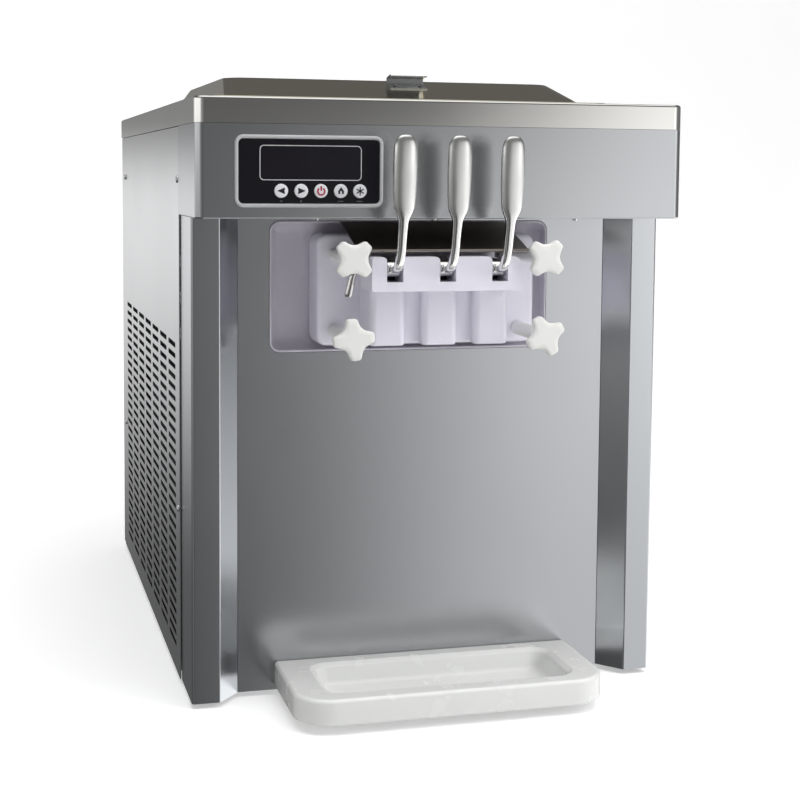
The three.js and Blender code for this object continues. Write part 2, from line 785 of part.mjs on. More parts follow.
// ---------------------------------------------------------------- inside the body
function makeCylinders() {
  const [outerR, innerR, shaftR] = [50, 44, 6.6];
  const front = CYLINDER_Y;
  const back = CYLINDER_Y + CYLINDER_LENGTH;
  for (const [side, sign] of SIDES) {
    const x = sign * LANE + BLOCK_X;
    const place = [x, CYLINDER_Z];
    const shell = cut(bar('y', outerR, front, back, place, 24), [
      bar('y', innerR, front - CUT, back - 6, place, 24),
      bar('y', shaftR, back - 10, back + CUT, place, 12),
      bar('z', FEED_TUBE.bore, CYLINDER_Z + 30, CYLINDER_Z + 60, [x, FEED_TUBE.y], 8),
    ]);
    part(`cylinder_${side}`, shell, ALUMINIUM);
  }
}

/** A shaft with three end rings and three scraper blades round it. */
function makeBeaters() {
  const scraperR = 41;
  const length = CYLINDER_LENGTH - 16;
  for (const [side, sign] of SIDES) {
    const pieces = [bar('y', 6, 0, length + 24, [0, 0], 12)];
    for (const y of [4, length / 2, length - 4]) {
      pieces.push(bar('y', 12, y - 3, y + 3, [0, 0], 10));
      for (let arm = 0; arm < 3; arm += 1) {
        const spoke = box(-4, 4, y - 3, y + 3, 0, scraperR - 4);
        pieces.push(spoke.rotateY((arm * 2 * Math.PI) / 3));
      }
    }
    for (let arm = 0; arm < 3; arm += 1) {
      const blade = box(-7, 7, 1, length - 1, scraperR - 6, scraperR - 1.5);
      pieces.push(blade.rotateY((arm * 2 * Math.PI) / 3));
    }
    const place = [sign * LANE + BLOCK_X, CYLINDER_Y + 4, CYLINDER_Z];
    part(`beater_${side}`, join(...pieces), WHITE, place);
  }
}

const GEARBOX = { y0: 401.5, y1: 466 };

function makeDrive() {
  const wide = LANE + 46;
  const housing = box(BLOCK_X - wide, BLOCK_X + wide, GEARBOX.y0, GEARBOX.y1, 406, 506);
  const bores = SIDES.map(([, sign]) =>
    bar('y', 6.6, GEARBOX.y0 - CUT, GEARBOX.y0 + 22, [sign * LANE + BLOCK_X, CYLINDER_Z], 16),
  );
  part('gearbox', cut(housing, bores), DARK);

  const motor = turned([[0, 0], [58, 0], [62, 6], [62, 150], [54, 172], [20, 176], [0, 176]], 28);
  motor.rotateX(-Math.PI / 2);
  part('drive_motor', motor, DARK, [BLOCK_X, GEARBOX.y1 + GAP, CYLINDER_Z]);
}

function makeRefrigeration() {
  const can = turned([[0, 0], [70, 0], [78, 12], [82, 30], [82, 120], [64, 166], [24, 184], [0, 186]], 28);
  part('compressor', can, DARK, [70, 650, 36]);

  const fins = 14;
  const [y0, pitch, finWide] = [330, 19, 8];
  const comb = [[-212, y0], [-212, y0 + fins * pitch]];
  for (let fin = fins - 1; fin >= 0; fin -= 1) {
    const y = y0 + fin * pitch;
    comb.push([-222, y + pitch], [-222, y + finWide], [-252, y + finWide], [-252, y]);
  }
  const unique = comb.filter(([x, y], i) => i === 0 || x !== comb[i - 1][0] || y !== comb[i - 1][1]);
  part('condenser', standing(straightOutline(unique), 44, 330), ALUMINIUM);

  const centre = [460, 190];
  const pieces = [bar('x', 26, -198, -182, centre, 20)];
  for (let index = 0; index < 5; index += 1) {
    const blade = box(-1.2, 1.2, -26, 26, 18, 118).rotateZ(0.4);
    blade.rotateX((index * 2 * Math.PI) / 5).translate(-190, ...centre);
    pieces.push(blade);
  }
  part('condenser_fan', join(...pieces), DARK);
  part('fan_motor', bar('x', 36, -178, -110, centre, 24), DARK);
}

makeBase();
makeFeet();
makeFrontPanel();
makePillars();
makeSidePanels();
makeSideScrews();
makeRearPanel();
makePowerInlet();
makeFascia();
makeTopCover();
makeHoppers();
makeFeedTubes();
makeLid();
makeLidHandle();
makeControls();
makeDish();
makeDischargeBlock();
makePivotRod();
makeHandles();
makePlungers();
makeSplashShield();
makeKnobs();
makeDripTray();
makeCylinders();
makeBeaters();
makeDrive();
makeRefrigeration();

const extent = new THREE.Box3().setFromObject(model);
model.position.y = -(extent.min.y + extent.max.y) / 2;

export default model;
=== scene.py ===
"""Countertop soft-serve ice cream maker with three pull handles: the finished surfaces round its frame.

Every surface is worked out in machine millimetres, (x, d, z): x runs across the front, d is the depth
behind the face of the head, and z is the height above the table. put() turns them into the frame's metres.
"""

import json
import logging
import math
from collections.abc import Callable, Iterable, Sequence
from dataclasses import dataclass, field
from enum import Enum

import bmesh
import bpy
import numpy as np
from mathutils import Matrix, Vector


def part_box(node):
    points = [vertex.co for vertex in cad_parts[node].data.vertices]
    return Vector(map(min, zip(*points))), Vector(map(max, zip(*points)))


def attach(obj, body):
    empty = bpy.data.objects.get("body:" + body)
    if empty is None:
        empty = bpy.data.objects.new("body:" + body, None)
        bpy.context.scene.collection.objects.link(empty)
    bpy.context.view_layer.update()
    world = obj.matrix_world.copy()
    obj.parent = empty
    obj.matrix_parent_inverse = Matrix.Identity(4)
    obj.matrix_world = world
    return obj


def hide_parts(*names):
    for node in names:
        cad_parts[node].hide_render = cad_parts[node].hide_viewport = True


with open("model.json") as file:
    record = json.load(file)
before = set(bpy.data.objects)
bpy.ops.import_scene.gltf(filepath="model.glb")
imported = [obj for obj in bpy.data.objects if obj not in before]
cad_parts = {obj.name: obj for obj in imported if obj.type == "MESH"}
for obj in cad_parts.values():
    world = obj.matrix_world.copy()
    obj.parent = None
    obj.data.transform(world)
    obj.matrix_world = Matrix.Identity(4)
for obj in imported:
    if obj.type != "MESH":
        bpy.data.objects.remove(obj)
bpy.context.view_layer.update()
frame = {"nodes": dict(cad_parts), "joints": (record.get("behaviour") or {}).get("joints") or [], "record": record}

LOG = logging.getLogger("ice_cream_maker")
MM = 0.001
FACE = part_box("head_fascia")[0].y / MM
SIDES = (("left", -1), ("right", 1))
LANES = ("left", "middle", "right")
CORNER = 8  # points on a rounded corner

Array = np.ndarray
Rect = tuple[float, float, float, float]
Colour = tuple[float, float, float]
Profile = Sequence[tuple[float, float]]


# ------------------------------------------------------------------ sizes read from the frame
@dataclass(frozen=True)
class Extent:
    """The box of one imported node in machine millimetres."""

    x0: float
    x1: float
    d0: float
    d1: float
    z0: float
    z1: float

    @classmethod
    def of(cls, node: str) -> "Extent":
        """Reads a node's box.

        Args:
            node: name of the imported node.

        Returns:
            Its extent across, in depth and in height.
        """
        low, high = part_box(node)
        depth = (low.y / MM - FACE, high.y / MM - FACE)
        return cls(low.x / MM, high.x / MM, *depth, low.z / MM, high.z / MM)

    @property
    def centre(self) -> Array:
        """The middle of the box."""
        return np.array([self.x0 + self.x1, self.d0 + self.d1, self.z0 + self.z1]) / 2

    @property
    def front(self) -> Rect:
        """The box seen from the front, across and up."""
        return self.x0, self.x1, self.z0, self.z1

    @property
    def plan(self) -> Rect:
        """The box seen from above, across and back."""
        return self.x0, self.x1, self.d0, self.d1


def inset(rect: Rect, by: float) -> Rect:
    """Moves every side of a rectangle inwards by the same amount."""
    return rect[0] + by, rect[1] - by, rect[2] + by, rect[3] - by


# ------------------------------------------------------------------ surfaces
class Plane(Enum):
    """Which machine axes an outline's u and v and its height run along."""

    TOP = (0, 1, 2)
    FRONT = (0, 2, 1)
    SIDE = (1, 2, 0)

    def place(self, outline: Array, height: float | Array) -> Array:
        """Lifts (u, v) points to a height along the plane's normal.

        Args:
            outline: points whose last axis is (u, v).
            height: one height, or one for each point.

        Returns:
            The same points as (x, d, z).
        """
        placed = np.empty(outline.shape[:-1] + (3,))
        u_axis, v_axis, height_axis = self.value
        placed[..., u_axis] = outline[..., 0]
        placed[..., v_axis] = outline[..., 1]
        placed[..., height_axis] = height
        return placed


@dataclass
class Shell:
    """Points in machine millimetres and the faces between them."""

    points: Array
    faces: list[list[int]]

    def moved(self, *by: float) -> "Shell":
        """A copy moved by (x, d, z)."""
        return Shell(self.points + np.array(by), self.faces)

    def mirrored(self) -> "Shell":
        """A copy mirrored across the machine's middle plane."""
        return Shell(self.points * np.array([-1, 1, 1]), [face[::-1] for face in self.faces])

    def turned(self, axis: int, degrees: float, about: Sequence[float] = (0, 0, 0)) -> "Shell":
        """A copy turned about a line along one axis.

        Args:
            axis: 0, 1 or 2 for x, d or z.
            degrees: how far it turns.
            about: a point on the line.

        Returns:
            The turned copy.
        """
        a, b = [n for n in range(3) if n != axis]
        angle = math.radians(degrees)
        local = self.points - np.array(about)
        turned = local.copy()
        turned[:, a] = local[:, a] * math.cos(angle) - local[:, b] * math.sin(angle)
        turned[:, b] = local[:, a] * math.sin(angle) + local[:, b] * math.cos(angle)
        return Shell(turned + np.array(about), self.faces)


def joined(shells: Iterable[Shell]) -> Shell:
    """Puts several shells into one."""
    points, faces, count = [], [], 0
    for shell in shells:
        points.append(shell.points)
        faces += (np.array(face) + count for face in shell.faces)
        count += len(shell.points)
    return Shell(np.concatenate(points), [list(map(int, face)) for face in faces])


def rounded(rect: Rect, radii: float | Sequence[float], steps: int = CORNER) -> Array:
    """Outline of a rectangle with round corners, anticlockwise from the low corner.

    Each corner is its centre plus its radius times (cosine, sine) of angles over a quarter turn.

    Args:
        rect: low and high u, low and high v.
        radii: one radius, or one for each corner.
        steps: points on each corner.

    Returns:
        Points as rows of (u, v).
    """
    r = np.broadcast_to(np.asarray(radii, float), 4)
    u0, u1, v0, v1 = rect
    centres = np.array(
        [[u0 + r[0], v0 + r[0]], [u1 - r[1], v0 + r[1]], [u1 - r[2], v1 - r[2]], [u0 + r[3], v1 - r[3]]]
    )
    start = np.array([1.0, 1.5, 0.0, 0.5]) * math.pi
    angle = start[:, None] + np.linspace(0, math.pi / 2, steps)
    around = np.stack([np.cos(angle), np.sin(angle)], -1)
    return (centres[:, None] + r[:, None, None] * around).reshape(-1, 2)


def ring(
    rect: Rect, radii: float | Sequence[float], plane: Plane, height: float, steps: int = CORNER
) -> Array:
    """A rounded rectangle's outline placed at a height on a plane."""
    return plane.place(rounded(rect, np.maximum(radii, 0.02), steps), height)


def loft(rings: Array, closed: bool = True, caps: bool = True, endless: bool = False) -> Shell:
    """Joins neighbouring rings of points by four-sided faces.

    Args:
        rings: array of rings x points x 3.
        closed: whether each ring's last point meets its first.
        caps: whether the first and last rings are filled.
        endless: whether the last ring meets the first.

    Returns:
        The shell.
    """
    rings = np.asarray(rings, float)
    count, around = rings.shape[:2]
    index = np.arange(count * around).reshape(count, around)
    upper = np.roll(index, -1, 0) if endless else index[1:]
    lower = index if endless else index[:-1]
    quads = np.stack([lower, np.roll(lower, -1, 1), np.roll(upper, -1, 1), upper], -1)
    if not closed:
        quads = quads[:, :-1]
    faces = quads.reshape(-1, 4).tolist()
    if caps and not endless:
        faces += [index[0][::-1].tolist(), index[-1].tolist()]
    return Shell(rings.reshape(-1, 3), faces)


def arc(centre: tuple[float, float], radius: float, start: float, end: float, steps: int = 6) -> list[tuple]:
    """Points on an arc: the centre plus the radius times (cosine, sine) of even angles in degrees."""
    angle = np.radians(np.linspace(start, end, steps))
    return list(zip(centre[0] + radius * np.cos(angle), centre[1] + radius * np.sin(angle)))


def stack(
    rect: Rect, radii: float | Sequence[float], plane: Plane, profile: Profile, **options: object
) -> Shell:
    """A rounded rectangle carried along a profile of (inset, height).

    Each ring is the rectangle moved inwards by the inset, with its corner radii made smaller by it too.

    Args:
        rect: the rectangle at inset 0.
        radii: its corner radii.
        plane: the plane it lies on.
        profile: inset and height of each ring.
        **options: passed on to loft().

    Returns:
        The shell.
    """
    radii = np.asarray(radii, float)
    return loft(np.array([ring(inset(rect, i), radii - i, plane, h) for i, h in profile]), **options)


def soft_edge(near: float, far: float, edge: float, steps: int = 4) -> list[tuple[float, float]]:
    """Profile of a plate's rim: a quarter round at the near face, a straight wall and one at the far face."""
    way = math.copysign(1, far - near)
    turn = np.linspace(0, math.pi / 2, steps)
    round_in, round_up = edge * (1 - np.sin(turn)), edge * (1 - np.cos(turn))
    first = list(zip(round_in, near + way * round_up))
    last = list(zip(round_in[::-1], far - way * round_up[::-1]))
    return first + last


def pillow(
    rect: Rect, radii: float | Sequence[float], plane: Plane, near: float, far: float, edge: float
) -> Shell:
    """A plate between two heights whose rims are rounded over."""
    return stack(rect, radii, plane, soft_edge(near, far, edge))


def prism(outline: Array, plane: Plane, near: float, far: float, edge: float = 0.0) -> Shell:
    """An outline extruded between two heights, drawn in towards its middle by an edge at both ends.

    Args:
        outline: points as rows of (u, v).
        plane: the plane they lie on.
        near: first height.
        far: last height.
        edge: size of the slope on both rims.

    Returns:
        The closed shell.
    """
    if not edge:
        return loft(np.array([plane.place(outline, near), plane.place(outline, far)]))
    middle = outline.mean(0)
    reach = np.linalg.norm(outline - middle, axis=1, keepdims=True)
    rings = [
        plane.place(middle + (outline - middle) * (1 - i / reach), h) for i, h in soft_edge(near, far, edge)
    ]
    return loft(np.array(rings))


def filleted(points: Profile, radii: float | Sequence[float], closed: bool = False, steps: int = 6) -> Array:
    """A line through points with each corner replaced by an arc that both its sides run into.

    An arc starts its radius over the tangent of half the corner's angle away from the corner. Its points
    slide round its centre from one end's direction to the other's.

    Args:
        points: the corners.
        radii: one radius, or one for each corner; 0 keeps it sharp.
        closed: whether the line comes back to its start.
        steps: points on each arc.

    Returns:
        Points as rows of (u, v).
    """
    corners = np.asarray(points, float)
    r = np.broadcast_to(np.asarray(radii, float), len(corners))
    made = []
    for n, corner in enumerate(corners):
        end = not closed and n in (0, len(corners) - 1)
        if end or r[n] <= 0:
            made.append(corner[None])
            continue
        back, on = corners[n - 1] - corner, corners[(n + 1) % len(corners)] - corner
        back, on = back / np.linalg.norm(back), on / np.linalg.norm(on)
        half = math.acos(np.clip(back @ on, -1, 1)) / 2
        middle = back + on
        centre = corner + middle / np.linalg.norm(middle) * r[n] / math.sin(half)
        start, stop = (corner + side * r[n] / math.tan(half) - centre for side in (back, on))
        turn = math.pi - 2 * half
        t = np.linspace(0, 1, steps)[:, None]
        made.append(centre + (np.sin((1 - t) * turn) * start + np.sin(t * turn) * stop) / math.sin(turn))
    return np.concatenate(made)


def sheet_outline(line: Array, thickness: float) -> Array:
    """Closed outline of a sheet that follows a line: the line, then the line moved sideways by the thickness.

    The move at a point is along the mean of its two segments' normals, made longer on a bend.
    """
    step = np.diff(line, axis=0)
    normal = np.stack([-step[:, 1], step[:, 0]], -1) / np.linalg.norm(step, axis=1, keepdims=True)
    first, last = np.vstack([normal[:1], normal]), np.vstack([normal, normal[-1:]])
    middle = (first + last) / 2
    middle /= (middle**2).sum(1, keepdims=True)
    return np.vstack([line, (line + middle * thickness)[::-1]])


def revolve(
    profile: Profile, axis: int, centre: Sequence[float], segments: int = 48, endless: bool = False
) -> Shell:
    """Turns a profile of (radius, place along the axis) about an axis.

    Args:
        profile: points from one end to the other.
        axis: 0, 1 or 2 for x, d or z.
        centre: a point that the axis goes through; its value along the axis is added to the places.
        segments: points round the axis.
        endless: whether the profile closes on itself, as a tube's does.

    Returns:
        The closed shell.
    """
    line = np.asarray(profile, float)
    angle = np.linspace(0, 2 * math.pi, segments, endpoint=False)
    radius = np.maximum(line[:, :1], 0.05)
    a, b = [n for n in range(3) if n != axis]
    rings = np.empty((len(line), segments, 3))
    rings[..., a] = centre[a] + radius * np.cos(angle)
    rings[..., b] = centre[b] + radius * np.sin(angle)
    rings[..., axis] = centre[axis] + line[:, 1:]
    return loft(rings, endless=endless)


def round_bar(
    ends: tuple[float, float], radius: float, axis: int, centre: Sequence[float], segments: int = 24
) -> Shell:
    """A plain cylinder between two places along an axis."""
    profile = [(0, ends[0]), (radius, ends[0]), (radius, ends[1]), (0, ends[1])]
    return revolve(profile, axis, centre, segments)


def spline(points: Sequence[Sequence[float]], count: int) -> Array:
    """A smooth line through points: on each stretch the cubic whose slope at a point is half the step
    between that point's neighbours.

    Args:
        points: the points, in any number of dimensions.
        count: points on the result.

    Returns:
        Points as rows.
    """
    p = np.asarray(points, float)
    padded = np.vstack([2 * p[0] - p[1], p, 2 * p[-1] - p[-2]])
    t = np.linspace(0, len(p) - 1, count)
    n = np.minimum(t.astype(int), len(p) - 2)
    f = (t - n)[:, None]
    before, here, after, beyond = (padded[n + k] for k in range(4))
    square = 2 * before - 5 * here + 4 * after - beyond
    cube = 3 * (here - after) + beyond - before
    return here + 0.5 * f * (after - before + f * (square + f * cube))


def sweep(path: Array, section: Array, side: Sequence[float], caps: bool = True) -> Shell:
    """Carries a section along a path. A point of it lies its first number along the side direction and its
    second along the direction square to that and to the path.

    Args:
        path: points along the way.
        section: points x 2, or one such section for each point of the path.
        side: the section's first direction.
        caps: whether both ends are filled.

    Returns:
        The shell.
    """
    tangent = np.gradient(path, axis=0)
    tangent /= np.linalg.norm(tangent, axis=1, keepdims=True)
    across = np.broadcast_to(np.asarray(side, float), path.shape)
    across = across - (across * tangent).sum(1, keepdims=True) * tangent
    across /= np.linalg.norm(across, axis=1, keepdims=True)
    up = np.cross(across, tangent)
    section = np.broadcast_to(section, (len(path),) + section.shape[-2:])
    rings = path[:, None] + section[..., :1] * across[:, None] + section[..., 1:] * up[:, None]
    return loft(rings, caps=caps)


def circle(radius: float | Array, count: int = 20, power: float = 2.0, flat: float | Array = 1.0) -> Array:
    """A superellipse: the half width times cosine and the half height times sine, each raised to 2 / power.

    Args:
        radius: half width, one or one for each section.
        count: points round it.
        power: 2 for an ellipse, more for a squarer one.
        flat: half height as a share of the half width.

    Returns:
        Array of (sections x) points x 2.
    """
    angle = np.linspace(0, 2 * math.pi, count, endpoint=False)
    u, v = np.cos(angle), np.sin(angle)
    unit = np.stack([np.sign(u) * np.abs(u) ** (2 / power), np.sign(v) * np.abs(v) ** (2 / power)], -1)
    radius, flat = np.asarray(radius, float), np.asarray(flat, float)
    return np.stack([radius[..., None] * unit[:, 0], (radius * flat)[..., None] * unit[:, 1]], -1)


@dataclass
class PunchedPlate:
    """A flat plate on a grid of cells, some of which have a hole. A profile of (inset, height) takes its rim
    from the near face round to the far one, so that it can be a plain edge, a flange or a deep skirt."""

    plane: Plane
    rect: Rect
    radii: float | Sequence[float]
    rim: Profile
    u: Array
    v: Array
    holes: dict[tuple[int, int], Array] = field(default_factory=dict)

    def shell(self) -> Shell:
        """Builds both faces, the walls of the holes and the rim as one closed shell."""
        near, far = self.rim[0][1], self.rim[-1][1]
        rim = stack(self.rect, self.radii, self.plane, self.rim, caps=False)
        pieces = [rim, self._border(0), self._border(-1)]
        cells = [(i, j) for i in range(len(self.u) - 1) for j in range(len(self.v) - 1)]
        for height in (near, far):
            pieces.append(self._plain([c for c in cells if c not in self.holes], height))
            pieces += [self._around_hole(cell, height) for cell in self.holes]
        for outline in self.holes.values():
            walls = np.array([self.plane.place(outline, h) for h in (near, far)])
            pieces.append(loft(walls, caps=False))
        return joined(pieces)

    def _corners(self, cells: Sequence[tuple[int, int]]) -> Array:
        """The four corners of each cell, anticlockwise."""
        i, j = np.array(cells, int).reshape(-1, 2).T
        low_u, high_u, low_v, high_v = self.u[i], self.u[i + 1], self.v[j], self.v[j + 1]
        columns = [[low_u, low_v], [high_u, low_v], [high_u, high_v], [low_u, high_v]]
        return np.array(columns).transpose(2, 0, 1)

    def _plain(self, cells: Sequence[tuple[int, int]], height: float) -> Shell:
        """Cells without a hole."""
        corners = self._corners(cells).reshape(-1, 2)
        faces = np.arange(len(corners)).reshape(-1, 4).tolist()
        return Shell(self.plane.place(corners, height), faces)

    def _around_hole(self, cell: tuple[int, int], height: float) -> Shell:
        """Four faces between a cell's corners and the middles of its hole's corners."""
        outline = self.holes[cell]
        points = np.vstack([self._corners([cell])[0], outline])
        steps = len(outline) // 4
        faces = []
        for side in range(4):
            along = ((side + 1) * steps + steps // 2 - np.arange(steps + 1)) % len(outline)
            faces.append([side, (side + 1) % 4, *(4 + along).tolist()])
        return Shell(self.plane.place(points, height), faces)

    def _border(self, end: int) -> Shell:
        """Four faces between the rim's first or last ring and the edge of the grid."""
        i, height = self.rim[end]
        outer = rounded(inset(self.rect, i), np.maximum(np.asarray(self.radii, float) - i, 0.02))
        low, high = np.full_like(self.u, self.v[0]), np.full_like(self.u, self.v[-1])
        left, right = np.full_like(self.v, self.u[0]), np.full_like(self.v, self.u[-1])
        sides = [(self.u, low), (right, self.v), (self.u[::-1], high), (left, self.v[::-1])]
        shells = []
        for side, (us, vs) in enumerate(sides):
            along = (side * CORNER + CORNER // 2 + np.arange(CORNER + 1)) % len(outer)
            points = np.vstack([outer[along], np.stack([us, vs], -1)[::-1]])
            shells.append(Shell(self.plane.place(points, height), [list(range(len(points)))]))
        return joined(shells)


def as_mesh(name: str, shell: Shell, scale: float = 1.0) -> bpy.types.Mesh:
    """Makes a mesh, with doubled points merged and every face turned outwards.

    Args:
        name: the mesh's name.
        shell: its points and faces.
        scale: what the points are multiplied by.

    Returns:
        The mesh.
    """
    mesh = bpy.data.meshes.new(name)
    mesh.from_pydata((shell.points * scale).tolist(), [], shell.faces)
    work = bmesh.new()
    work.from_mesh(mesh)
    bmesh.ops.remove_doubles(work, verts=work.verts, dist=0.004 * scale)
    bmesh.ops.dissolve_degenerate(work, edges=work.edges, dist=0.001 * scale)
    bmesh.ops.recalc_face_normals(work, faces=work.faces)
    work.to_mesh(mesh)
    work.free()
    return mesh


def carved(body: Shell, added: Sequence[Shell] = (), cut: Sequence[Shell] = ()) -> Shell:
    """Joins shells to a body as one skin and then cuts others out of it.

    Args:
        body: the shell to start from.
        added: shells that are joined to it.
        cut: shells that are cut out.

    Returns:
        The carved shell.
    """
    steps = [("UNION", shell) for shell in added] + [("DIFFERENCE", shell) for shell in cut]
    tools = [bpy.data.objects.new("tool", as_mesh("tool", shell)) for _, shell in steps]
    work = bpy.data.objects.new("work", as_mesh("work", body))
    for thing in (work, *tools):
        bpy.context.scene.collection.objects.link(thing)
    for (operation, _), tool in zip(steps, tools):
        modifier = work.modifiers.new(operation, "BOOLEAN")
        modifier.operation, modifier.object, modifier.solver = operation, tool, "EXACT"
    bpy.context.view_layer.update()
    result = bpy.data.meshes.new_from_object(work.evaluated_get(bpy.context.evaluated_depsgraph_get()))
    points = np.empty(len(result.vertices) * 3)
    result.vertices.foreach_get("co", points)
    faces = [list(face.vertices) for face in result.polygons]
    for thing in (work, *tools):
        bpy.data.objects.remove(thing)
    return Shell(points.reshape(-1, 3), faces)


# ------------------------------------------------------------------ shader building
def tone(code: str) -> Colour:
    """A colour from six hexadecimal digits, as light values."""
    shares = [int(code[n : n + 2], 16) / 255 for n in (0, 2, 4)]
    return tuple(s / 12.92 if s <= 0.04045 else ((s + 0.055) / 1.055) ** 2.4 for s in shares)


class Graph:
    """Places shader nodes in a tree and links them."""

    def __init__(self, tree: bpy.types.NodeTree) -> None:
        """Starts on an empty tree."""
        self.tree = tree

    def node(self, kind: str, links: dict | None = None, **settings: object) -> bpy.types.Node:
        """Adds a node.

        Args:
            kind: the node's type without its prefix.
            links: input name or number to the value or the socket it takes.
            **settings: properties of the node.

        Returns:
            The node.
        """
        made = self.tree.nodes.new("ShaderNode" + kind)
        for key, value in settings.items():
            setattr(made, key, value)
        for key, value in (links or {}).items():
            self.feed(made.inputs[key], value)
        return made

    def feed(self, socket: bpy.types.NodeSocket, value: object) -> None:
        """Links a socket to another one, or sets its value."""
        if isinstance(value, bpy.types.NodeSocket):
            self.tree.links.new(value, socket)
        elif isinstance(value, tuple) and len(value) == 3 and socket.type == "RGBA":
            socket.default_value = (*value, 1.0)
        else:
            socket.default_value = value

    def math(self, operation: str, *values: object) -> bpy.types.NodeSocket:
        """A Math node's result."""
        return self.node("Math", dict(enumerate(values)), operation=operation).outputs[0]

    def mix(self, share: object, first: object, second: object) -> bpy.types.NodeSocket:
        """The blend of two colours."""
        made = self.node("Mix", data_type="RGBA")
        for key, value in (("Factor_Float", share), ("A_Color", first), ("B_Color", second)):
            socket = next(s for s in made.inputs if s.identifier == key)
            self.feed(socket, value)
        return next(s for s in made.outputs if s.identifier == "Result_Color")

    def spread(
        self, value: object, low: float, high: float, start: float, end: float
    ) -> bpy.types.NodeSocket:
        """Maps low..high to start..end, smoothly and without going past either."""
        links = {0: value, 1: low, 2: high, 3: start, 4: end}
        return self.node("MapRange", links, interpolation_type="SMOOTHSTEP").outputs[0]

    def noise(self, place: object, scale: object, detail: float = 3.0) -> bpy.types.NodeSocket:
        """A noise texture's value."""
        return self.node("TexNoise", {"Vector": place, "Scale": scale, "Detail": detail}).outputs[0]


class Effect(Enum):
    """Effects that several finishes share. Each is a node group, built once, that puts out varying values."""

    GRAIN = "brushed grain"
    SKIN = "moulded skin"
    MARKS = "handling marks"
    WEAR = "edge wear"
    DUST = "settled dust"

    def tree(self) -> bpy.types.NodeTree:
        """The effect's node group, built the first time it is asked for."""
        if self.value in bpy.data.node_groups:
            return bpy.data.node_groups[self.value]
        tree = bpy.data.node_groups.new(self.value, "ShaderNodeTree")
        start, end = tree.nodes.new("NodeGroupInput"), tree.nodes.new("NodeGroupOutput")
        for name, kind in (
            ("Place", "NodeSocketVector"), ("Scale", "NodeSocketVector"), ("Amount", "NodeSocketFloat")
        ):
            tree.interface.new_socket(name=name, in_out="INPUT", socket_type=kind)
        tree.interface.new_socket(name="Value", in_out="OUTPUT", socket_type="NodeSocketFloat")
        graph = Graph(tree)
        scaled = graph.node("VectorMath", {0: start.outputs[0], 1: start.outputs[1]}, operation="MULTIPLY")
        value = BUILDERS[self](graph, scaled.outputs[0])
        tree.links.new(graph.math("MULTIPLY", value, start.outputs[2]), end.inputs[0])
        return tree


def _grain(graph: Graph, place: bpy.types.NodeSocket) -> bpy.types.NodeSocket:
    """Long fine scratches with a coarser drift under them."""
    fine = graph.noise(place, 1.0, 4.0)
    coarse = graph.noise(place, 0.3, 2.0)
    return graph.math("ADD", graph.math("MULTIPLY", fine, 0.75), graph.math("MULTIPLY", coarse, 0.25))


def _skin(graph: Graph, place: bpy.types.NodeSocket) -> bpy.types.NodeSocket:
    """The soft dimpling of a moulded or painted surface."""
    return graph.noise(place, 1.0, 2.5)


def _marks(graph: Graph, place: bpy.types.NodeSocket) -> bpy.types.NodeSocket:
    """Broad patches left by wiping and handling."""
    patch = graph.noise(place, 1.0, 4.0)
    return graph.spread(patch, 0.42, 0.68, 0.0, 1.0)


def _wear(graph: Graph, place: bpy.types.NodeSocket) -> bpy.types.NodeSocket:
    """Convex edges, broken up by noise."""
    point = graph.node("NewGeometry").outputs["Pointiness"]
    edge = graph.spread(point, 0.505, 0.56, 0.0, 1.0)
    return graph.math("MULTIPLY", edge, graph.spread(graph.noise(place, 1.0), 0.35, 0.65, 0.3, 1.0))


def _dust(graph: Graph, place: bpy.types.NodeSocket) -> bpy.types.NodeSocket:
    """A film on faces that look up, in patches."""
    up = graph.node("SeparateXYZ", {0: graph.node("NewGeometry").outputs["Normal"]}).outputs[2]
    film = graph.spread(up, 0.55, 1.0, 0.0, 1.0)
    return graph.math("MULTIPLY", film, graph.spread(graph.noise(place, 1.0, 5.0), 0.3, 0.7, 0.25, 1.0))


BUILDERS: dict[Effect, Callable] = {
    Effect.GRAIN: _grain,
    Effect.SKIN: _skin,
    Effect.MARKS: _marks,
    Effect.WEAR: _wear,
    Effect.DUST: _dust,
}


@dataclass(frozen=True)
class Finish:
    """What every finish has: a name, a colour and a roughness."""

    name: str
    colour: Colour
    roughness: float

    def material(self) -> bpy.types.Material:
        """The finish's material, made the first time it is asked for."""
        if self.name in bpy.data.materials:
            return bpy.data.materials[self.name]
        material = bpy.data.materials.new(self.name)
        material.use_nodes = True
        graph = Graph(material.node_tree)
        shader = material.node_tree.nodes["Principled BSDF"]
        place = graph.node("TexCoord").outputs["Object"]
        self.dress(graph, shader, place)
        return material

    def dress(self, graph: Graph, shader: bpy.types.Node, place: bpy.types.NodeSocket) -> None:
        """Sets the shader up. Each kind of finish has its own way."""
        raise NotImplementedError

    def effect(
        self, graph: Graph, kind: Effect, place: object, scale: Sequence[float], amount: float
    ) -> object:
        """Places one of the shared effects.

        Args:
            graph: the material's graph.
            kind: which effect.
            place: the coordinates it follows.
            scale: how fine it is along x, y and z, per metre.
            amount: what its value is multiplied by.

        Returns:
            The effect's output socket.
        """
        made = graph.tree.nodes.new("ShaderNodeGroup")
        made.node_tree = kind.tree()
        graph.feed(made.inputs["Place"], place)
        graph.feed(made.inputs["Scale"], tuple(scale))
        graph.feed(made.inputs["Amount"], amount)
        return made.outputs[0]

    def bump(
        self, graph: Graph, shader: bpy.types.Node, height: object, depth: float, strength: float
    ) -> None:
        """Feeds a height into the shader's normal."""
        made = graph.node("Bump", {"Height": height, "Distance": depth, "Strength": strength})
        graph.feed(shader.inputs["Normal"], made.outputs[0])


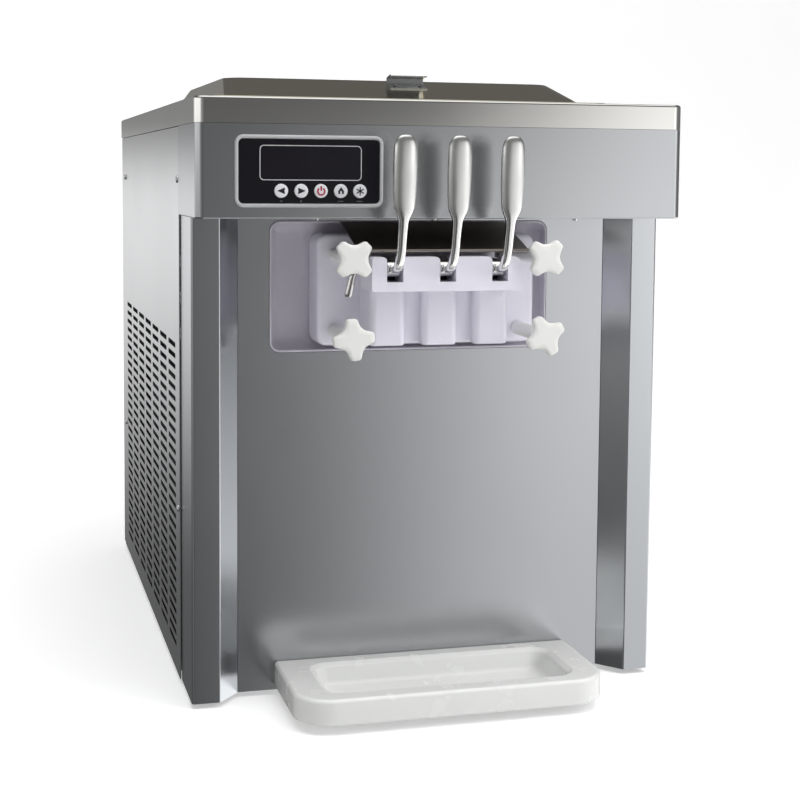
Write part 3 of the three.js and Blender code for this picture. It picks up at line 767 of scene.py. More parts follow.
class Brush(Enum):
    """Which way a brushed grain runs, as its fineness along x, y and z, per metre."""

    UPRIGHT = (900.0, 900.0, 9.0)
    ACROSS = (9.0, 900.0, 900.0)
    BACK = (900.0, 9.0, 900.0)


@dataclass(frozen=True)
class BrushedSteel(Finish):
    """Stainless sheet with a brushed grain, faint wiping marks and a little dust on top faces."""

    brush: Brush = Brush.UPRIGHT
    grain: float = 0.05
    metal: float = 1.0

    def dress(self, graph: Graph, shader: bpy.types.Node, place: bpy.types.NodeSocket) -> None:
        """Grain varies colour, roughness and normal; marks and dust dull it."""
        grain = self.effect(graph, Effect.GRAIN, place, self.brush.value, 1.0)
        marks = self.effect(graph, Effect.MARKS, place, (7.0, 7.0, 5.0), 0.012)
        dust = self.effect(graph, Effect.DUST, place, (24.0, 24.0, 24.0), 0.04)
        darker = tuple(c * (1 - self.grain) for c in self.colour)
        colour = graph.mix(grain, darker, tuple(min(1.0, c * (1 + self.grain / 2)) for c in self.colour))
        graph.feed(shader.inputs["Base Color"], graph.mix(dust, colour, tone("b9b6ae")))
        rough = graph.math("ADD", graph.math("MULTIPLY", grain, self.grain), self.roughness - self.grain / 2)
        rough = graph.math("ADD", rough, graph.math("ADD", marks, dust))
        graph.feed(shader.inputs["Roughness"], rough)
        graph.feed(shader.inputs["Metallic"], self.metal)
        self.bump(graph, shader, grain, 0.00001, self.grain)


@dataclass(frozen=True)
class Chrome(Finish):
    """Bright polished or plated metal with fine handling marks and softly worn edges. It may turn satin
    between two heights in metres."""

    ripple: float = 0.06
    satin: float = 0.0
    turns: tuple[float, float] = (0.0, 1.0)

    def dress(self, graph: Graph, shader: bpy.types.Node, place: bpy.types.NodeSocket) -> None:
        """Marks dull the polish in patches, edges are worn bright, and a slow ripple bends reflections."""
        marks = self.effect(graph, Effect.MARKS, place, (38.0, 38.0, 22.0), 0.07)
        wear = self.effect(graph, Effect.WEAR, place, (260.0, 260.0, 260.0), 0.5)
        skin = self.effect(graph, Effect.SKIN, place, (60.0, 60.0, 40.0), 1.0)
        light = tuple(min(1.0, c * 1.12) for c in self.colour)
        graph.feed(shader.inputs["Base Color"], graph.mix(wear, self.colour, light))
        height = graph.node("SeparateXYZ", {0: place}).outputs[2]
        satin = graph.spread(height, *self.turns, self.roughness, self.roughness + self.satin)
        graph.feed(shader.inputs["Roughness"], graph.math("ADD", marks, satin))
        graph.feed(shader.inputs["Metallic"], 1.0)
        self.bump(graph, shader, skin, 0.0004, self.ripple)


@dataclass(frozen=True)
class Plastic(Finish):
    """Moulded plastic, rubber or thick paint: a dimpled skin, patches of wear and light dust."""

    skin: float = 0.15
    fine: float = 900.0
    gloss: float = 0.5
    coat: float = 0.0
    shine: float = 0.0
    rub: float = 0.2

    def dress(self, graph: Graph, shader: bpy.types.Node, place: bpy.types.NodeSocket) -> None:
        """Colour drifts a little, edges are rubbed lighter, dust settles on top and the skin is dimpled."""
        drift = self.effect(graph, Effect.SKIN, place, (11.0, 11.0, 11.0), 1.0)
        marks = self.effect(graph, Effect.MARKS, place, (31.0, 31.0, 31.0), 0.04)
        wear = self.effect(graph, Effect.WEAR, place, (300.0, 300.0, 300.0), self.rub)
        dust = self.effect(graph, Effect.DUST, place, (45.0, 45.0, 45.0), 0.01)
        dimples = self.effect(graph, Effect.SKIN, place, (self.fine,) * 3, 1.0)
        darker = tuple(c * 0.93 for c in self.colour)
        rubbed = tuple(min(1.0, c * 1.1 + 0.004) for c in self.colour)
        colour = graph.mix(wear, graph.mix(drift, darker, self.colour), rubbed)
        graph.feed(shader.inputs["Base Color"], graph.mix(dust, colour, tone("a9a69e")))
        graph.feed(shader.inputs["Roughness"], graph.math("ADD", marks, self.roughness))
        shader.inputs["Specular IOR Level"].default_value = self.gloss
        shader.inputs["Coat Weight"].default_value = self.coat
        shader.inputs["Coat Roughness"].default_value = 0.06
        shader.inputs["Subsurface Weight"].default_value = self.shine
        shader.inputs["Subsurface Radius"].default_value = (0.004, 0.004, 0.004)
        self.bump(graph, shader, dimples, 0.00008, self.skin)


@dataclass(frozen=True)
class StudioFloor(Finish):
    """A matt pale floor that the camera sees a little brighter than it is lit."""

    lift: float = 0.42

    def dress(self, graph: Graph, shader: bpy.types.Node, place: bpy.types.NodeSocket) -> None:
        """The tone drifts very slightly, and only camera rays meet the lift."""
        drift = self.effect(graph, Effect.SKIN, place, (0.8, 0.8, 0.8), 1.0)
        darker = tuple(c * 0.97 for c in self.colour)
        graph.feed(shader.inputs["Base Color"], graph.mix(drift, darker, self.colour))
        graph.feed(shader.inputs["Roughness"], self.roughness)
        shader.inputs["Specular IOR Level"].default_value = 0.1
        seen = graph.node("LightPath").outputs["Is Camera Ray"]
        graph.feed(shader.inputs["Emission Color"], graph.mix(seen, (0.0, 0.0, 0.0), (self.lift,) * 3))
        shader.inputs["Emission Strength"].default_value = 1.0


class Finishes:
    """The machine's own finishes. The lid, shield and dish colours also hold painted reflection or shade."""

    PANEL = BrushedSteel("brushed panel steel", tone("c0c2c5"), 0.22, Brush.UPRIGHT, 0.02)
    SIDE = BrushedSteel("brushed side steel", tone("cfd0d2"), 0.22, Brush.BACK)
    HEAD = BrushedSteel("brushed head steel", tone("bcbec0"), 0.22, Brush.ACROSS, 0.012)
    COVER = BrushedSteel("polished cover steel", tone("dddcd8"), 0.13, Brush.ACROSS, 0.02)
    PILLAR = BrushedSteel("brushed pillar steel", tone("c0c3c6"), 0.22, Brush.UPRIGHT, 0.012)
    # The olive tint of the lid colour is a painted reflection of a dim, warm room.
    LID = BrushedSteel("lid steel with painted olive reflection", tone("cfc9b4"), 0.13, Brush.ACROSS, 0.02)
    BASE = BrushedSteel("zinc-coated base sheet", tone("9a9ea2"), 0.42, Brush.BACK, 0.06)
    TUB = BrushedSteel("drawn hopper steel", tone("cdced0"), 0.2, Brush.UPRIGHT, 0.03)
    BARREL = BrushedSteel("turned cylinder steel", tone("c4c6c8"), 0.3, Brush.BACK, 0.06)
    # The shield's darker, warm colour is a painted reflection of the shaded underside of the head above it.
    SHIELD = BrushedSteel("splash shield steel darkened by painted reflection", tone("a39c94"), 0.34, Brush.ACROSS, 0.03)
    FINS = BrushedSteel("condenser aluminium", tone("aeb1b4"), 0.42, Brush.UPRIGHT, 0.08)
    COPPER = Chrome("copper pipe", tone("b8734a"), 0.24)
    CHROME = Chrome("rod chrome", tone("c2c0be"), 0.16)
    HANDLE = Chrome("cast handle chrome", tone("f4f4f2"), 0.12, 0.06, 0.2, (0.53, 0.55))
    SCREW = Chrome("screw steel", tone("e4e5e6"), 0.26)
    CLIP = Chrome("clip chrome", tone("e2e3e4"), 0.1, 0.03)
    # The dish's lilac is the plastic's own. Its tone, darker than the block's, is painted shade of the recess
    # under the head.
    DISH = Plastic("dish plastic darkened by painted shade", tone("d4d0da"), 0.42, 0.1, 700.0, 0.4)
    BLOCK = Plastic("block acetal", tone("e9e7f2"), 0.3, 0.1, 800.0, coat=0.25, shine=0.06)
    KNOB = Plastic("knob acetal", tone("e8e8e5"), 0.36, 0.14, 900.0, coat=0.15, shine=0.08)
    TRAY = Plastic("tray plastic", tone("e9eae8"), 0.24, 0.08, 600.0, coat=0.4, shine=0.04, rub=0.02)
    GLASS = Plastic("smoked panel", tone("131217"), 0.22, 0.02, 300.0, 0.25)
    SCREEN = Plastic("display window", tone("17151b"), 0.16, 0.02, 300.0, 0.3)
    BEZEL = Plastic("bezel plastic", tone("b4b5b6"), 0.3, 0.1, 900.0, coat=0.3)
    KEY = Plastic("key plastic", tone("dcdce0"), 0.34, 0.12, 1400.0, coat=0.2)
    LINE = Plastic("light print", tone("c3c3c6"), 0.5, 0.05, 1500.0)
    FAINT = Plastic("faint print", tone("76767a"), 0.5, 0.05, 1500.0)
    INK = Plastic("black print", tone("19181b"), 0.5, 0.05, 1500.0)
    CRIMSON = Plastic("crimson print", tone("a3193a"), 0.45, 0.05, 1500.0)
    SEAL = Plastic("plunger seal rubber", tone("16161a"), 0.38, 0.1, 900.0)
    RUBBER = Plastic("foot rubber", tone("202022"), 0.72, 0.3, 1100.0, 0.3)
    DARK = Plastic("dark moulding", tone("1d1e20"), 0.5, 0.2, 1000.0)
    BEATER = Plastic("beater plastic", tone("e8e8e6"), 0.36, 0.12, 700.0)
    IRON = Plastic("gearbox paint", tone("4a4d50"), 0.5, 0.5, 260.0, coat=0.1)
    MOTOR = Plastic("motor enamel", tone("3a3d42"), 0.4, 0.2, 500.0, coat=0.2)
    ENAMEL = Plastic("compressor enamel", tone("141416"), 0.28, 0.15, 400.0, coat=0.4)
    FLOOR = StudioFloor("pale floor", tone("e9e9e9"), 0.6)


# ------------------------------------------------------------------ putting pieces in
BODY_OF = {node: body for body, nodes in frame["record"]["behaviour"]["bodies"].items() for node in nodes}


def put(
    node: str, shell: Shell, finish: Finish, part: str = "", smooth: float = 32.0, bevel: float = 0.0
) -> bpy.types.Object:
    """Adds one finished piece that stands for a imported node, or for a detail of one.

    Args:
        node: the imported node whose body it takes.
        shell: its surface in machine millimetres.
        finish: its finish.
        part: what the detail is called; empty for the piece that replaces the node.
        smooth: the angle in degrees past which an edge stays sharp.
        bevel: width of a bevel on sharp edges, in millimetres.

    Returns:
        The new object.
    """
    name = f"{node}_{part or 'finished'}"
    place = Shell(shell.points + np.array([0, FACE, 0]), shell.faces)
    mesh = as_mesh(name, place, MM)
    mesh.materials.append(finish.material())
    mesh.polygons.foreach_set("use_smooth", np.ones(len(mesh.polygons), bool))
    mesh.set_sharp_from_angle(angle=math.radians(smooth))
    piece = bpy.data.objects.new(name, mesh)
    bpy.context.scene.collection.objects.link(piece)
    if bevel:
        edge = piece.modifiers.new("edge", "BEVEL")
        edge.width, edge.segments, edge.limit_method = bevel * MM, 2, "ANGLE"
        edge.angle_limit, edge.harden_normals = math.radians(smooth), True
    piece.modifiers.new("normals", "WEIGHTED_NORMAL").keep_sharp = True
    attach(piece, BODY_OF[node])
    if not part:
        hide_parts(node)
    LOG.info("%s on %s: %d faces, %s", name, BODY_OF[node], len(mesh.polygons), finish.name)
    return piece


def dress(node: str, finish: Finish) -> None:
    """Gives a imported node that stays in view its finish."""
    kept = frame["nodes"][node]
    kept.data.materials.clear()
    kept.data.materials.append(finish.material())
    LOG.info("%s kept, %s", node, finish.name)


# ------------------------------------------------------------------ body
@dataclass
class Body:
    """Panels, pillars, base and feet round the works."""

    sheet: float = 1.5
    mouth_corner: float = 12.0
    slot_columns: int = 7
    slot_rows: int = 29
    slot_pitch: float = 86.0
    slot_row_pitch: float = 12.4
    slot_long: float = 67.0
    slot_high: float = 6.0
    slot_start: float = 34.0
    slot_low: float = 31.0
    louvre_columns: tuple[float, ...] = (-190.0, -60.0, 70.0)
    louvre_wide: float = 110.0
    louvre_high: float = 30.0
    louvre_pitch: float = 56.0
    louvre_rows: int = 6
    louvre_low: float = 144.0

    def build(self) -> None:
        """Builds every piece of the body."""
        self.front_panel()
        for side, sign in SIDES:
            self.pillar(side, sign)
            self.side_panel(side, sign)
        self.rear_panel()
        self.base()
        self.feet()
        self.screws()

    def front_panel(self) -> None:
        """One sheet with a rounded mouth for the dish."""
        size, dish = Extent.of("front_panel"), Extent.of("front_surround")
        mouth = (dish.x0 + 6, dish.x1 - 6, dish.z0 + 6, dish.z1 - 2.5)
        margin = 8.0
        u = np.array([size.x0 + margin, mouth[0] - margin, mouth[1] + margin, size.x1 - margin])
        v = np.array([size.z0 + margin, mouth[2] - margin, size.z1 - 1.0])
        outline = rounded(mouth, self.mouth_corner)
        rim = [(0.0, size.d0), (0.0, size.d1)]
        plate = PunchedPlate(Plane.FRONT, size.front, 0.1, rim, u, v, {(1, 1): outline})
        put("front_panel", plate.shell(), Finishes.PANEL)

    def pillar(self, side: str, sign: int) -> None:
        """A folded upright: a flat side, a flat front, a slant back to the panel and a small return."""
        size = Extent.of(f"pillar_{side}")
        outer, inner = max(abs(size.x0), abs(size.x1)), min(abs(size.x0), abs(size.x1))
        panel = Extent.of("front_panel").d0
        line = [
            (outer, size.d1),
            (outer, size.d0),
            (outer - 31, size.d0),
            (inner, panel - 0.3),
            (inner, size.d1 - 56),
        ]
        path = filleted(line, [0, 3.2, 2.4, 1.6, 0])
        outline = sheet_outline(path, -self.sheet)
        shell = prism(outline, Plane.TOP, size.z0, size.z1)
        put(f"pillar_{side}", shell if sign > 0 else shell.mirrored(), Finishes.PILLAR)

    def side_panel(self, side: str, sign: int) -> None:
        """One sheet with seven columns of narrow slots with round ends."""
        size = Extent.of(f"side_panel_{side}")
        columns = size.d0 + self.slot_start + self.slot_pitch * np.arange(self.slot_columns)
        rows = size.z0 + self.slot_low + self.slot_row_pitch * np.arange(self.slot_rows)
        gap = (self.slot_pitch - self.slot_long) / 2
        u = np.append(columns - gap, columns[-1] + self.slot_long + gap)
        v = np.append(rows - self.slot_row_pitch / 2, rows[-1] + self.slot_row_pitch / 2)
        long, high = self.slot_long, self.slot_high
        holes = {}
        for i, d in enumerate(columns):
            for j, z in enumerate(rows):
                holes[i, j] = rounded((d, d + long, z - high / 2, z + high / 2), high / 2, 6)
        face, back = (size.x0, size.x1) if sign < 0 else (size.x1, size.x0)
        rim = [(0.35, face), (0.0, face - 0.35 * sign), (0.0, back)]
        rect = (size.d0, size.d1, size.z0, size.z1)
        put(
            f"side_panel_{side}", PunchedPlate(Plane.SIDE, rect, 0.5, rim, u, v, holes).shell(),
            Finishes.SIDE,
        )

    def rear_panel(self) -> None:
        """A tray-shaped sheet with three columns of louvres and the hole for the mains inlet."""
        size, inlet = Extent.of("rear_panel"), Extent.of("power_inlet")
        left = np.array(self.louvre_columns)
        low = size.z0 + self.louvre_low + self.louvre_pitch * np.arange(self.louvre_rows)
        gap = 10.0
        u = np.append(left - gap, left[-1] + self.louvre_wide + 25)
        v = np.append(
            [inlet.z0 - gap, inlet.z1 + gap], np.append(low[1:] - 13, low[-1] + self.louvre_high + 13)
        )
        holes = {}
        slats = []
        wide, high, edge = self.louvre_wide, self.louvre_high, size.d1 - self.sheet
        for i, x in enumerate(left):
            for j, z in enumerate(low):
                holes[i, j + 1] = rounded((x, x + wide, z, z + high), 5)
                for share in (0.0, 1 / 3, 2 / 3):
                    top = z + high * (1 - share)
                    line = filleted([(edge, top), (edge - 3, top - 1.5), (edge - 9, top - 9)], [0, 2, 0])
                    slat = prism(sheet_outline(line, 0.8), Plane.SIDE, x + 1, x + wide - 1)
                    slats.append(slat)
        socket = (inlet.x0 + 4.5, inlet.x1 - 4.5, inlet.z0 + 4.5, inlet.z1 - 4.5)
        holes[2, 0] = rounded(socket, 1)
        rim = [(0.8, size.d1), (0.2, size.d1 - 0.3), (0.0, size.d1 - 1)]
        rim += [(0.0, size.d0), (self.sheet, size.d0), (self.sheet, edge)]
        put("rear_panel", PunchedPlate(Plane.FRONT, size.front, 1.6, rim, u, v, holes).shell(), Finishes.SIDE)
        put("rear_panel", joined(slats), Finishes.SIDE, "louvres")

    def base(self) -> None:
        """A folded pan under the works."""
        size = Extent.of("base_pan")
        wall = 2.0
        profile = [(2, size.z0), (0.5, size.z0 + 0.5), (0, size.z0 + 2), (0, size.z1), (wall, size.z1)]
        profile += [(wall, size.z0 + wall + 2), (wall + 2, size.z0 + wall)]
        put("base_pan", stack(size.plan, 4, Plane.TOP, profile), Finishes.BASE)

    def feet(self) -> None:
        """Four turned rubber feet with a soft rim."""
        for row in ("front", "rear"):
            for side, _ in SIDES:
                node = f"foot_{row}_{side}"
                size = Extent.of(node)
                radius, high = (size.x1 - size.x0) / 2, size.z1 - size.z0
                profile = [(0, 0), (radius - 1.6, 0), (radius - 0.4, 0.4), (radius, 1.4)]
                profile += [(radius - 0.8, high - 1.2), (radius - 2, high), (0, high)]
                centre = (*size.centre[:2], size.z0)
                put(node, revolve(profile, 2, centre), Finishes.RUBBER)

    def screws(self) -> None:
        """Pan-head screws. The head's height is a dome in the radius less a cross-shaped recess."""
        head, recess = 4.2, 0.9
        radius = np.linspace(0, head, 15)
        angle = np.linspace(0, 2 * math.pi, 48, endpoint=False)
        r, a = np.meshgrid(radius, angle, indexing="ij")
        r = np.maximum(r, 0.02)
        dome = 2.2 * np.sqrt(np.clip(1 - (r / head) ** 4, 0, 1))
        narrow = np.minimum(np.abs(r * np.cos(a)), np.abs(r * np.sin(a)))
        cross = np.clip((0.5 - narrow) / 0.2, 0, 1) * np.clip((2.4 - r) / 0.3, 0, 1)
        rings = np.stack([dome - recess * cross, r * np.cos(a), r * np.sin(a)], -1)
        shank = [(head, -0.02), (1.8, -0.02), (1.8, -9.0), (0.05, -9.0)]
        tail = np.array([[np.full(48, h), q * np.cos(angle), q * np.sin(angle)] for q, h in shank])
        screw = loft(np.concatenate([rings, tail.transpose(0, 2, 1)]))
        for side, sign in SIDES:
            for place in ("front_upper", "rear_upper", "front_lower", "rear_lower"):
                node = f"screw_{side}_{place}"
                size = Extent.of(node)
                seat = abs(size.x0 if sign < 0 else size.x1) - 2.2
                placed = screw.moved(seat, *size.centre[1:])
                put(node, placed if sign > 0 else placed.mirrored(), Finishes.SCREW)


@dataclass
class MainsInlet:
    """The appliance inlet at the back: a flange round a socket with three pins."""

    flange: float = 2.0
    corner: float = 4.0

    def build(self) -> None:
        """Builds the inlet and its pins."""
        size = Extent.of("power_inlet")
        x, _, z = size.centre
        face = size.d1
        body, socket = (x - 23, x + 23, z - 13, z + 13), (x - 18, x + 18, z - 9, z + 9)
        rings = [ring(socket, 3, Plane.FRONT, face - 15), ring(socket, 3, Plane.FRONT, face - 0.6)]
        rings.append(ring(inset(socket, -0.8), 3.5, Plane.FRONT, face))
        outline = [(0.8, face), (0.2, face - 0.3), (0, face - 0.8), (0, face - self.flange)]
        rings += [ring(inset(size.front, i), self.corner - i, Plane.FRONT, h) for i, h in outline]
        rings.append(ring(body, 2, Plane.FRONT, face - self.flange))
        rings.append(ring(body, 2, Plane.FRONT, size.d0))
        put("power_inlet", loft(np.array(rings)), Finishes.DARK)
        pins = [(-9.5, -2.0), (0.0, 2.5), (9.5, -2.0)]
        blades = [
            pillow((x + u - 1, x + u + 1, z + v - 3, z + v + 3), 0.5, Plane.FRONT, face - 3, face - 15.5, 0.4)
            for u, v in pins
        ]
        put("power_inlet", joined(blades), Finishes.SCREW, "pins")


# ------------------------------------------------------------------ head
@dataclass
class Head:
    """Fascia, cover, lid, hoppers and their feed tubes."""

    sheet: float = 1.5
    cover_corner: float = 11.5
    fascia_corner: float = 8.5
    pins: tuple[float, ...] = (-137.0, -7.0, 156.0)
    pin_depth: float = 30.0
    tub_corner: float = 22.0
    tub_flange: float = 8.0
    lid_corner: float = 22.0
    lid_sheet: float = 1.2
    lid_skirt: float = 4.0
    lid_flange: float = 26.0
    lid_run: Rect = (38.0, 38.0, 105.0, 100.0)  # how far in the crown starts: left, right, front, back
    hollow_depth: float = 0.4  # how much of the height the foot of the slope gives up
    hollow_reach: float = 0.06  # share of the way over which it does
    hollow_pull: float = 26.0
    roll_start: float = 0.93  # share of the way at which the roll onto the crown begins

    def build(self) -> None:
        """Builds every piece of the head."""
        self.fascia()
        self.cover()
        for side, _ in SIDES:
            self.hopper(side)
            self.feed_tube(side)
        self.lid()
        self.clip()

    def fascia(self) -> None:
        """A folded front and two sides round a flat underside, with rounded upright corners."""
        size = Extent.of("head_fascia")
        t = self.sheet
        low, top = size.z0, size.z1
        profile = [(2.2, low), *((1.8 - u, low + 1.8 - v) for u, v in arc((0, 0), 1.8, 90, 0))]
        profile += [(0, top), (t, top), (t, low + t + 1.5), (t + 1.5, low + t)]
        corner = self.fascia_corner
        put("head_fascia", stack(size.plan, (corner, corner, 2.3, 2.3), Plane.TOP, profile), Finishes.HEAD)
        dome = [(0, 0.1), (2.9, 0.1), (2.9, -2.0), (2.4, -2.9), (1.3, -3.4), (0, -3.5)]
        pins = [revolve(dome, 2, (x, self.pin_depth, low), 24) for x in self.pins]
        put("head_fascia", joined(pins), Finishes.SCREW, "pins")

    def cover(self) -> None:
        """A deep skirt and a top with the openings of both hoppers, rounded where they meet."""
        size = Extent.of("top_cover")
        t, top, soft = self.sheet, size.z1, 3.0
        rim = [(soft - u, top - soft + v) for u, v in arc((0, 0), soft, 90, 0)]
        rim += [(0.0, size.z0), (t, size.z0)]
        rim += [(soft - u, top - soft + v) for u, v in arc((0, 0), soft - t, 0, 90)]
        tubs = [Extent.of(f"hopper_{side}") for side, _ in SIDES]
        margin = self.tub_flange
        walls = [
            (tub.x0 + margin - 0.3, tub.x1 - margin + 0.3, tub.d0 + margin - 0.3, tub.d1 - margin + 0.3)
            for tub in tubs
        ]
        u = np.array([walls[0][0] - 12, 0, walls[1][1] + 12])
        v = np.array([walls[0][2] - 12, walls[0][3] + 12])
        holes = {(n, 0): rounded(wall, self.tub_corner + 0.3) for n, wall in enumerate(walls)}
        plate = PunchedPlate(Plane.TOP, size.plan, self.cover_corner, rim, u, v, holes)
        put("top_cover", plate.shell(), Finishes.COVER)

    def hopper(self, side: str) -> None:
        """A drawn tub: a flange with a soft lip, upright walls, a wide floor radius and the tube's hole."""
        size, tube = Extent.of(f"hopper_{side}"), Extent.of(f"feed_tube_{side}")
        t, rim_z, floor, soft = 1.2, size.z1, size.z0 + 1.2, 14.0
        wall = inset(size.plan, self.tub_flange)
        profile = [(t + soft + u, floor + soft + v) for u, v in arc((0, 0), soft, 270, 180, 7)]
        profile += [(t, rim_z - 3), *((t - 2.5 + u, rim_z - 2.5 + v) for u, v in arc((0, 0), 2.5, 0, 90, 5))]
        profile += [
            (-self.tub_flange + 1, rim_z), (-self.tub_flange, rim_z - 0.6), (-self.tub_flange, rim_z - t)
        ]
        profile += [(-1, rim_z - t), (0, rim_z - t - 1), (0, size.z0 + soft)]
        profile += [(soft + u, size.z0 + soft + v) for u, v in arc((0, 0), soft, 200, 270, 6)]
        x, d, _ = tube.centre
        hole = 8.3
        u = np.array([wall[0] + 16, x - 12, x + 12, wall[1] - 16])
        v = np.array([wall[2] + 16, d - 12, d + 12, wall[3] - 16])
        outline = rounded((x - hole, x + hole, d - hole, d + hole), hole)
        plate = PunchedPlate(Plane.TOP, wall, self.tub_corner, profile, u, v, {(1, 1): outline})
        put(f"hopper_{side}", plate.shell(), Finishes.TUB)

    def feed_tube(self, side: str) -> None:
        """A tube with soft rims."""
        size = Extent.of(f"feed_tube_{side}")
        outer, bore = (size.x1 - size.x0) / 2, 5.0
        profile = [(bore, size.z0), (outer, size.z0), (outer, size.z1 - 1.5), (outer - 0.8, size.z1)]
        profile += [(bore + 0.6, size.z1), (bore, size.z1 - 0.8)]
        put(f"feed_tube_{side}", revolve(profile, 2, (*size.centre[:2], 0), endless=True), Finishes.TUB)

    def lid(self) -> None:
        """A pressed lid: a low rolled edge, a flat flange, a hollow slope and a flat crown.

        From the flange to the crown each side of the plan moves in evenly, and the height follows a share
        of the way that starts softly and ends in a tight roll.
        """
        size = Extent.of("hopper_lid")
        t, skirt, soft = self.lid_sheet, self.lid_skirt, 1.6
        top = size.z0 + skirt

        def plan(share: float, more: float) -> Rect:
            """The plan at a share of the way from the flange to the crown, moved in by the wall."""
            start, end = np.full(4, self.lid_flange), np.array(self.lid_run)
            moves = start + (end - start) * share + more
            return size.x0 + moves[0], size.x1 - moves[1], size.d0 + moves[2], size.d1 - moves[3]

        def slope(wall: float) -> list[Array]:
            """Rings from the flange to the crown.

            The height is the share of the way, less a dip near the flange that fades along a logistic curve
            and a small fall as the slope rolls onto the crown.
            """
            rings = []
            for share in np.concatenate([np.linspace(0, 0.9, 9), np.linspace(0.93, 1, 5)]):
                fade = 1 / (1 + math.exp(-self.hollow_pull * (self.hollow_reach - share)))
                dip = fade * share * self.hollow_depth
                lifted = share - dip - 0.35 * max(0.0, share - self.roll_start) ** 1.2
                height = top - wall + (size.z1 - top) * min(1.0, lifted * 1.02)
                rings.append(ring(plan(share, wall), 16 + 10 * share, Plane.TOP, height))
            rings.append(ring(plan(1.0, wall + 2.5), 24, Plane.TOP, size.z1 - wall))
            return rings

        edge = [(0, size.z0 + 0.3), (0, top - soft)]
        edge += [(soft - u, top - soft + v) for u, v in arc((0, 0), soft, 0, 90, 5)]
        hollow = [(soft, top - t), (t, top - soft - 0.2), (t, size.z0), (0.4, size.z0), edge[0]]
        flat = [ring(inset(size.plan, i), self.lid_corner - i, Plane.TOP, h) for i, h in edge]
        under = [ring(inset(size.plan, i), self.lid_corner - i, Plane.TOP, h) for i, h in hollow]
        rings = slope(0.0)[::-1] + flat[::-1]
        inner = under[::-1][1:] + slope(t)
        put("hopper_lid", loft(np.array(rings + inner)), Finishes.LID, smooth=40)

    def clip(self) -> None:
        """A folded clip on the lid's slope: a foot with two rivets, a riser and a ledge with a lip."""
        size, lid = Extent.of("lid_handle"), Extent.of("hopper_lid")
        t, top = 1.4, size.z1
        foot_d, foot_z = lid.d0 + self.lid_flange, lid.z0 + self.lid_skirt
        steep = (lid.z1 - foot_z) / (self.lid_run[2] - self.lid_flange)

        def on_slope(d: float) -> tuple[float, float]:
            """Depth and height of a point just above the slope."""
            return d, foot_z + (d - foot_d) * steep + 0.3

        start, bend = foot_d + 43, size.d1
        line = [on_slope(start), on_slope(bend), (bend, top - 3.6)]
        line += [(size.d0 + 1.6, top - 0.1), (size.d0 + 0.1, top - 1.8)]
        path = filleted(line, [0, 1.6, 2.0, 0.8, 0])
        outline = sheet_outline(path, t)
        put("lid_handle", prism(outline, Plane.SIDE, size.x0, size.x1), Finishes.CLIP, bevel=0.25)
        seat = on_slope((start + bend) / 2)
        dome = [(0, 0), (2.6, 0), (2.3, 0.8), (1.2, 1.3), (0, 1.4)]
        rivets = [
            revolve(dome, 2, (x, seat[0], seat[1] + t - 0.1), 24) for x in (size.x0 + 7, size.x1 - 7)
        ]
        put("lid_handle", joined(rivets), Finishes.SCREW, "rivets")


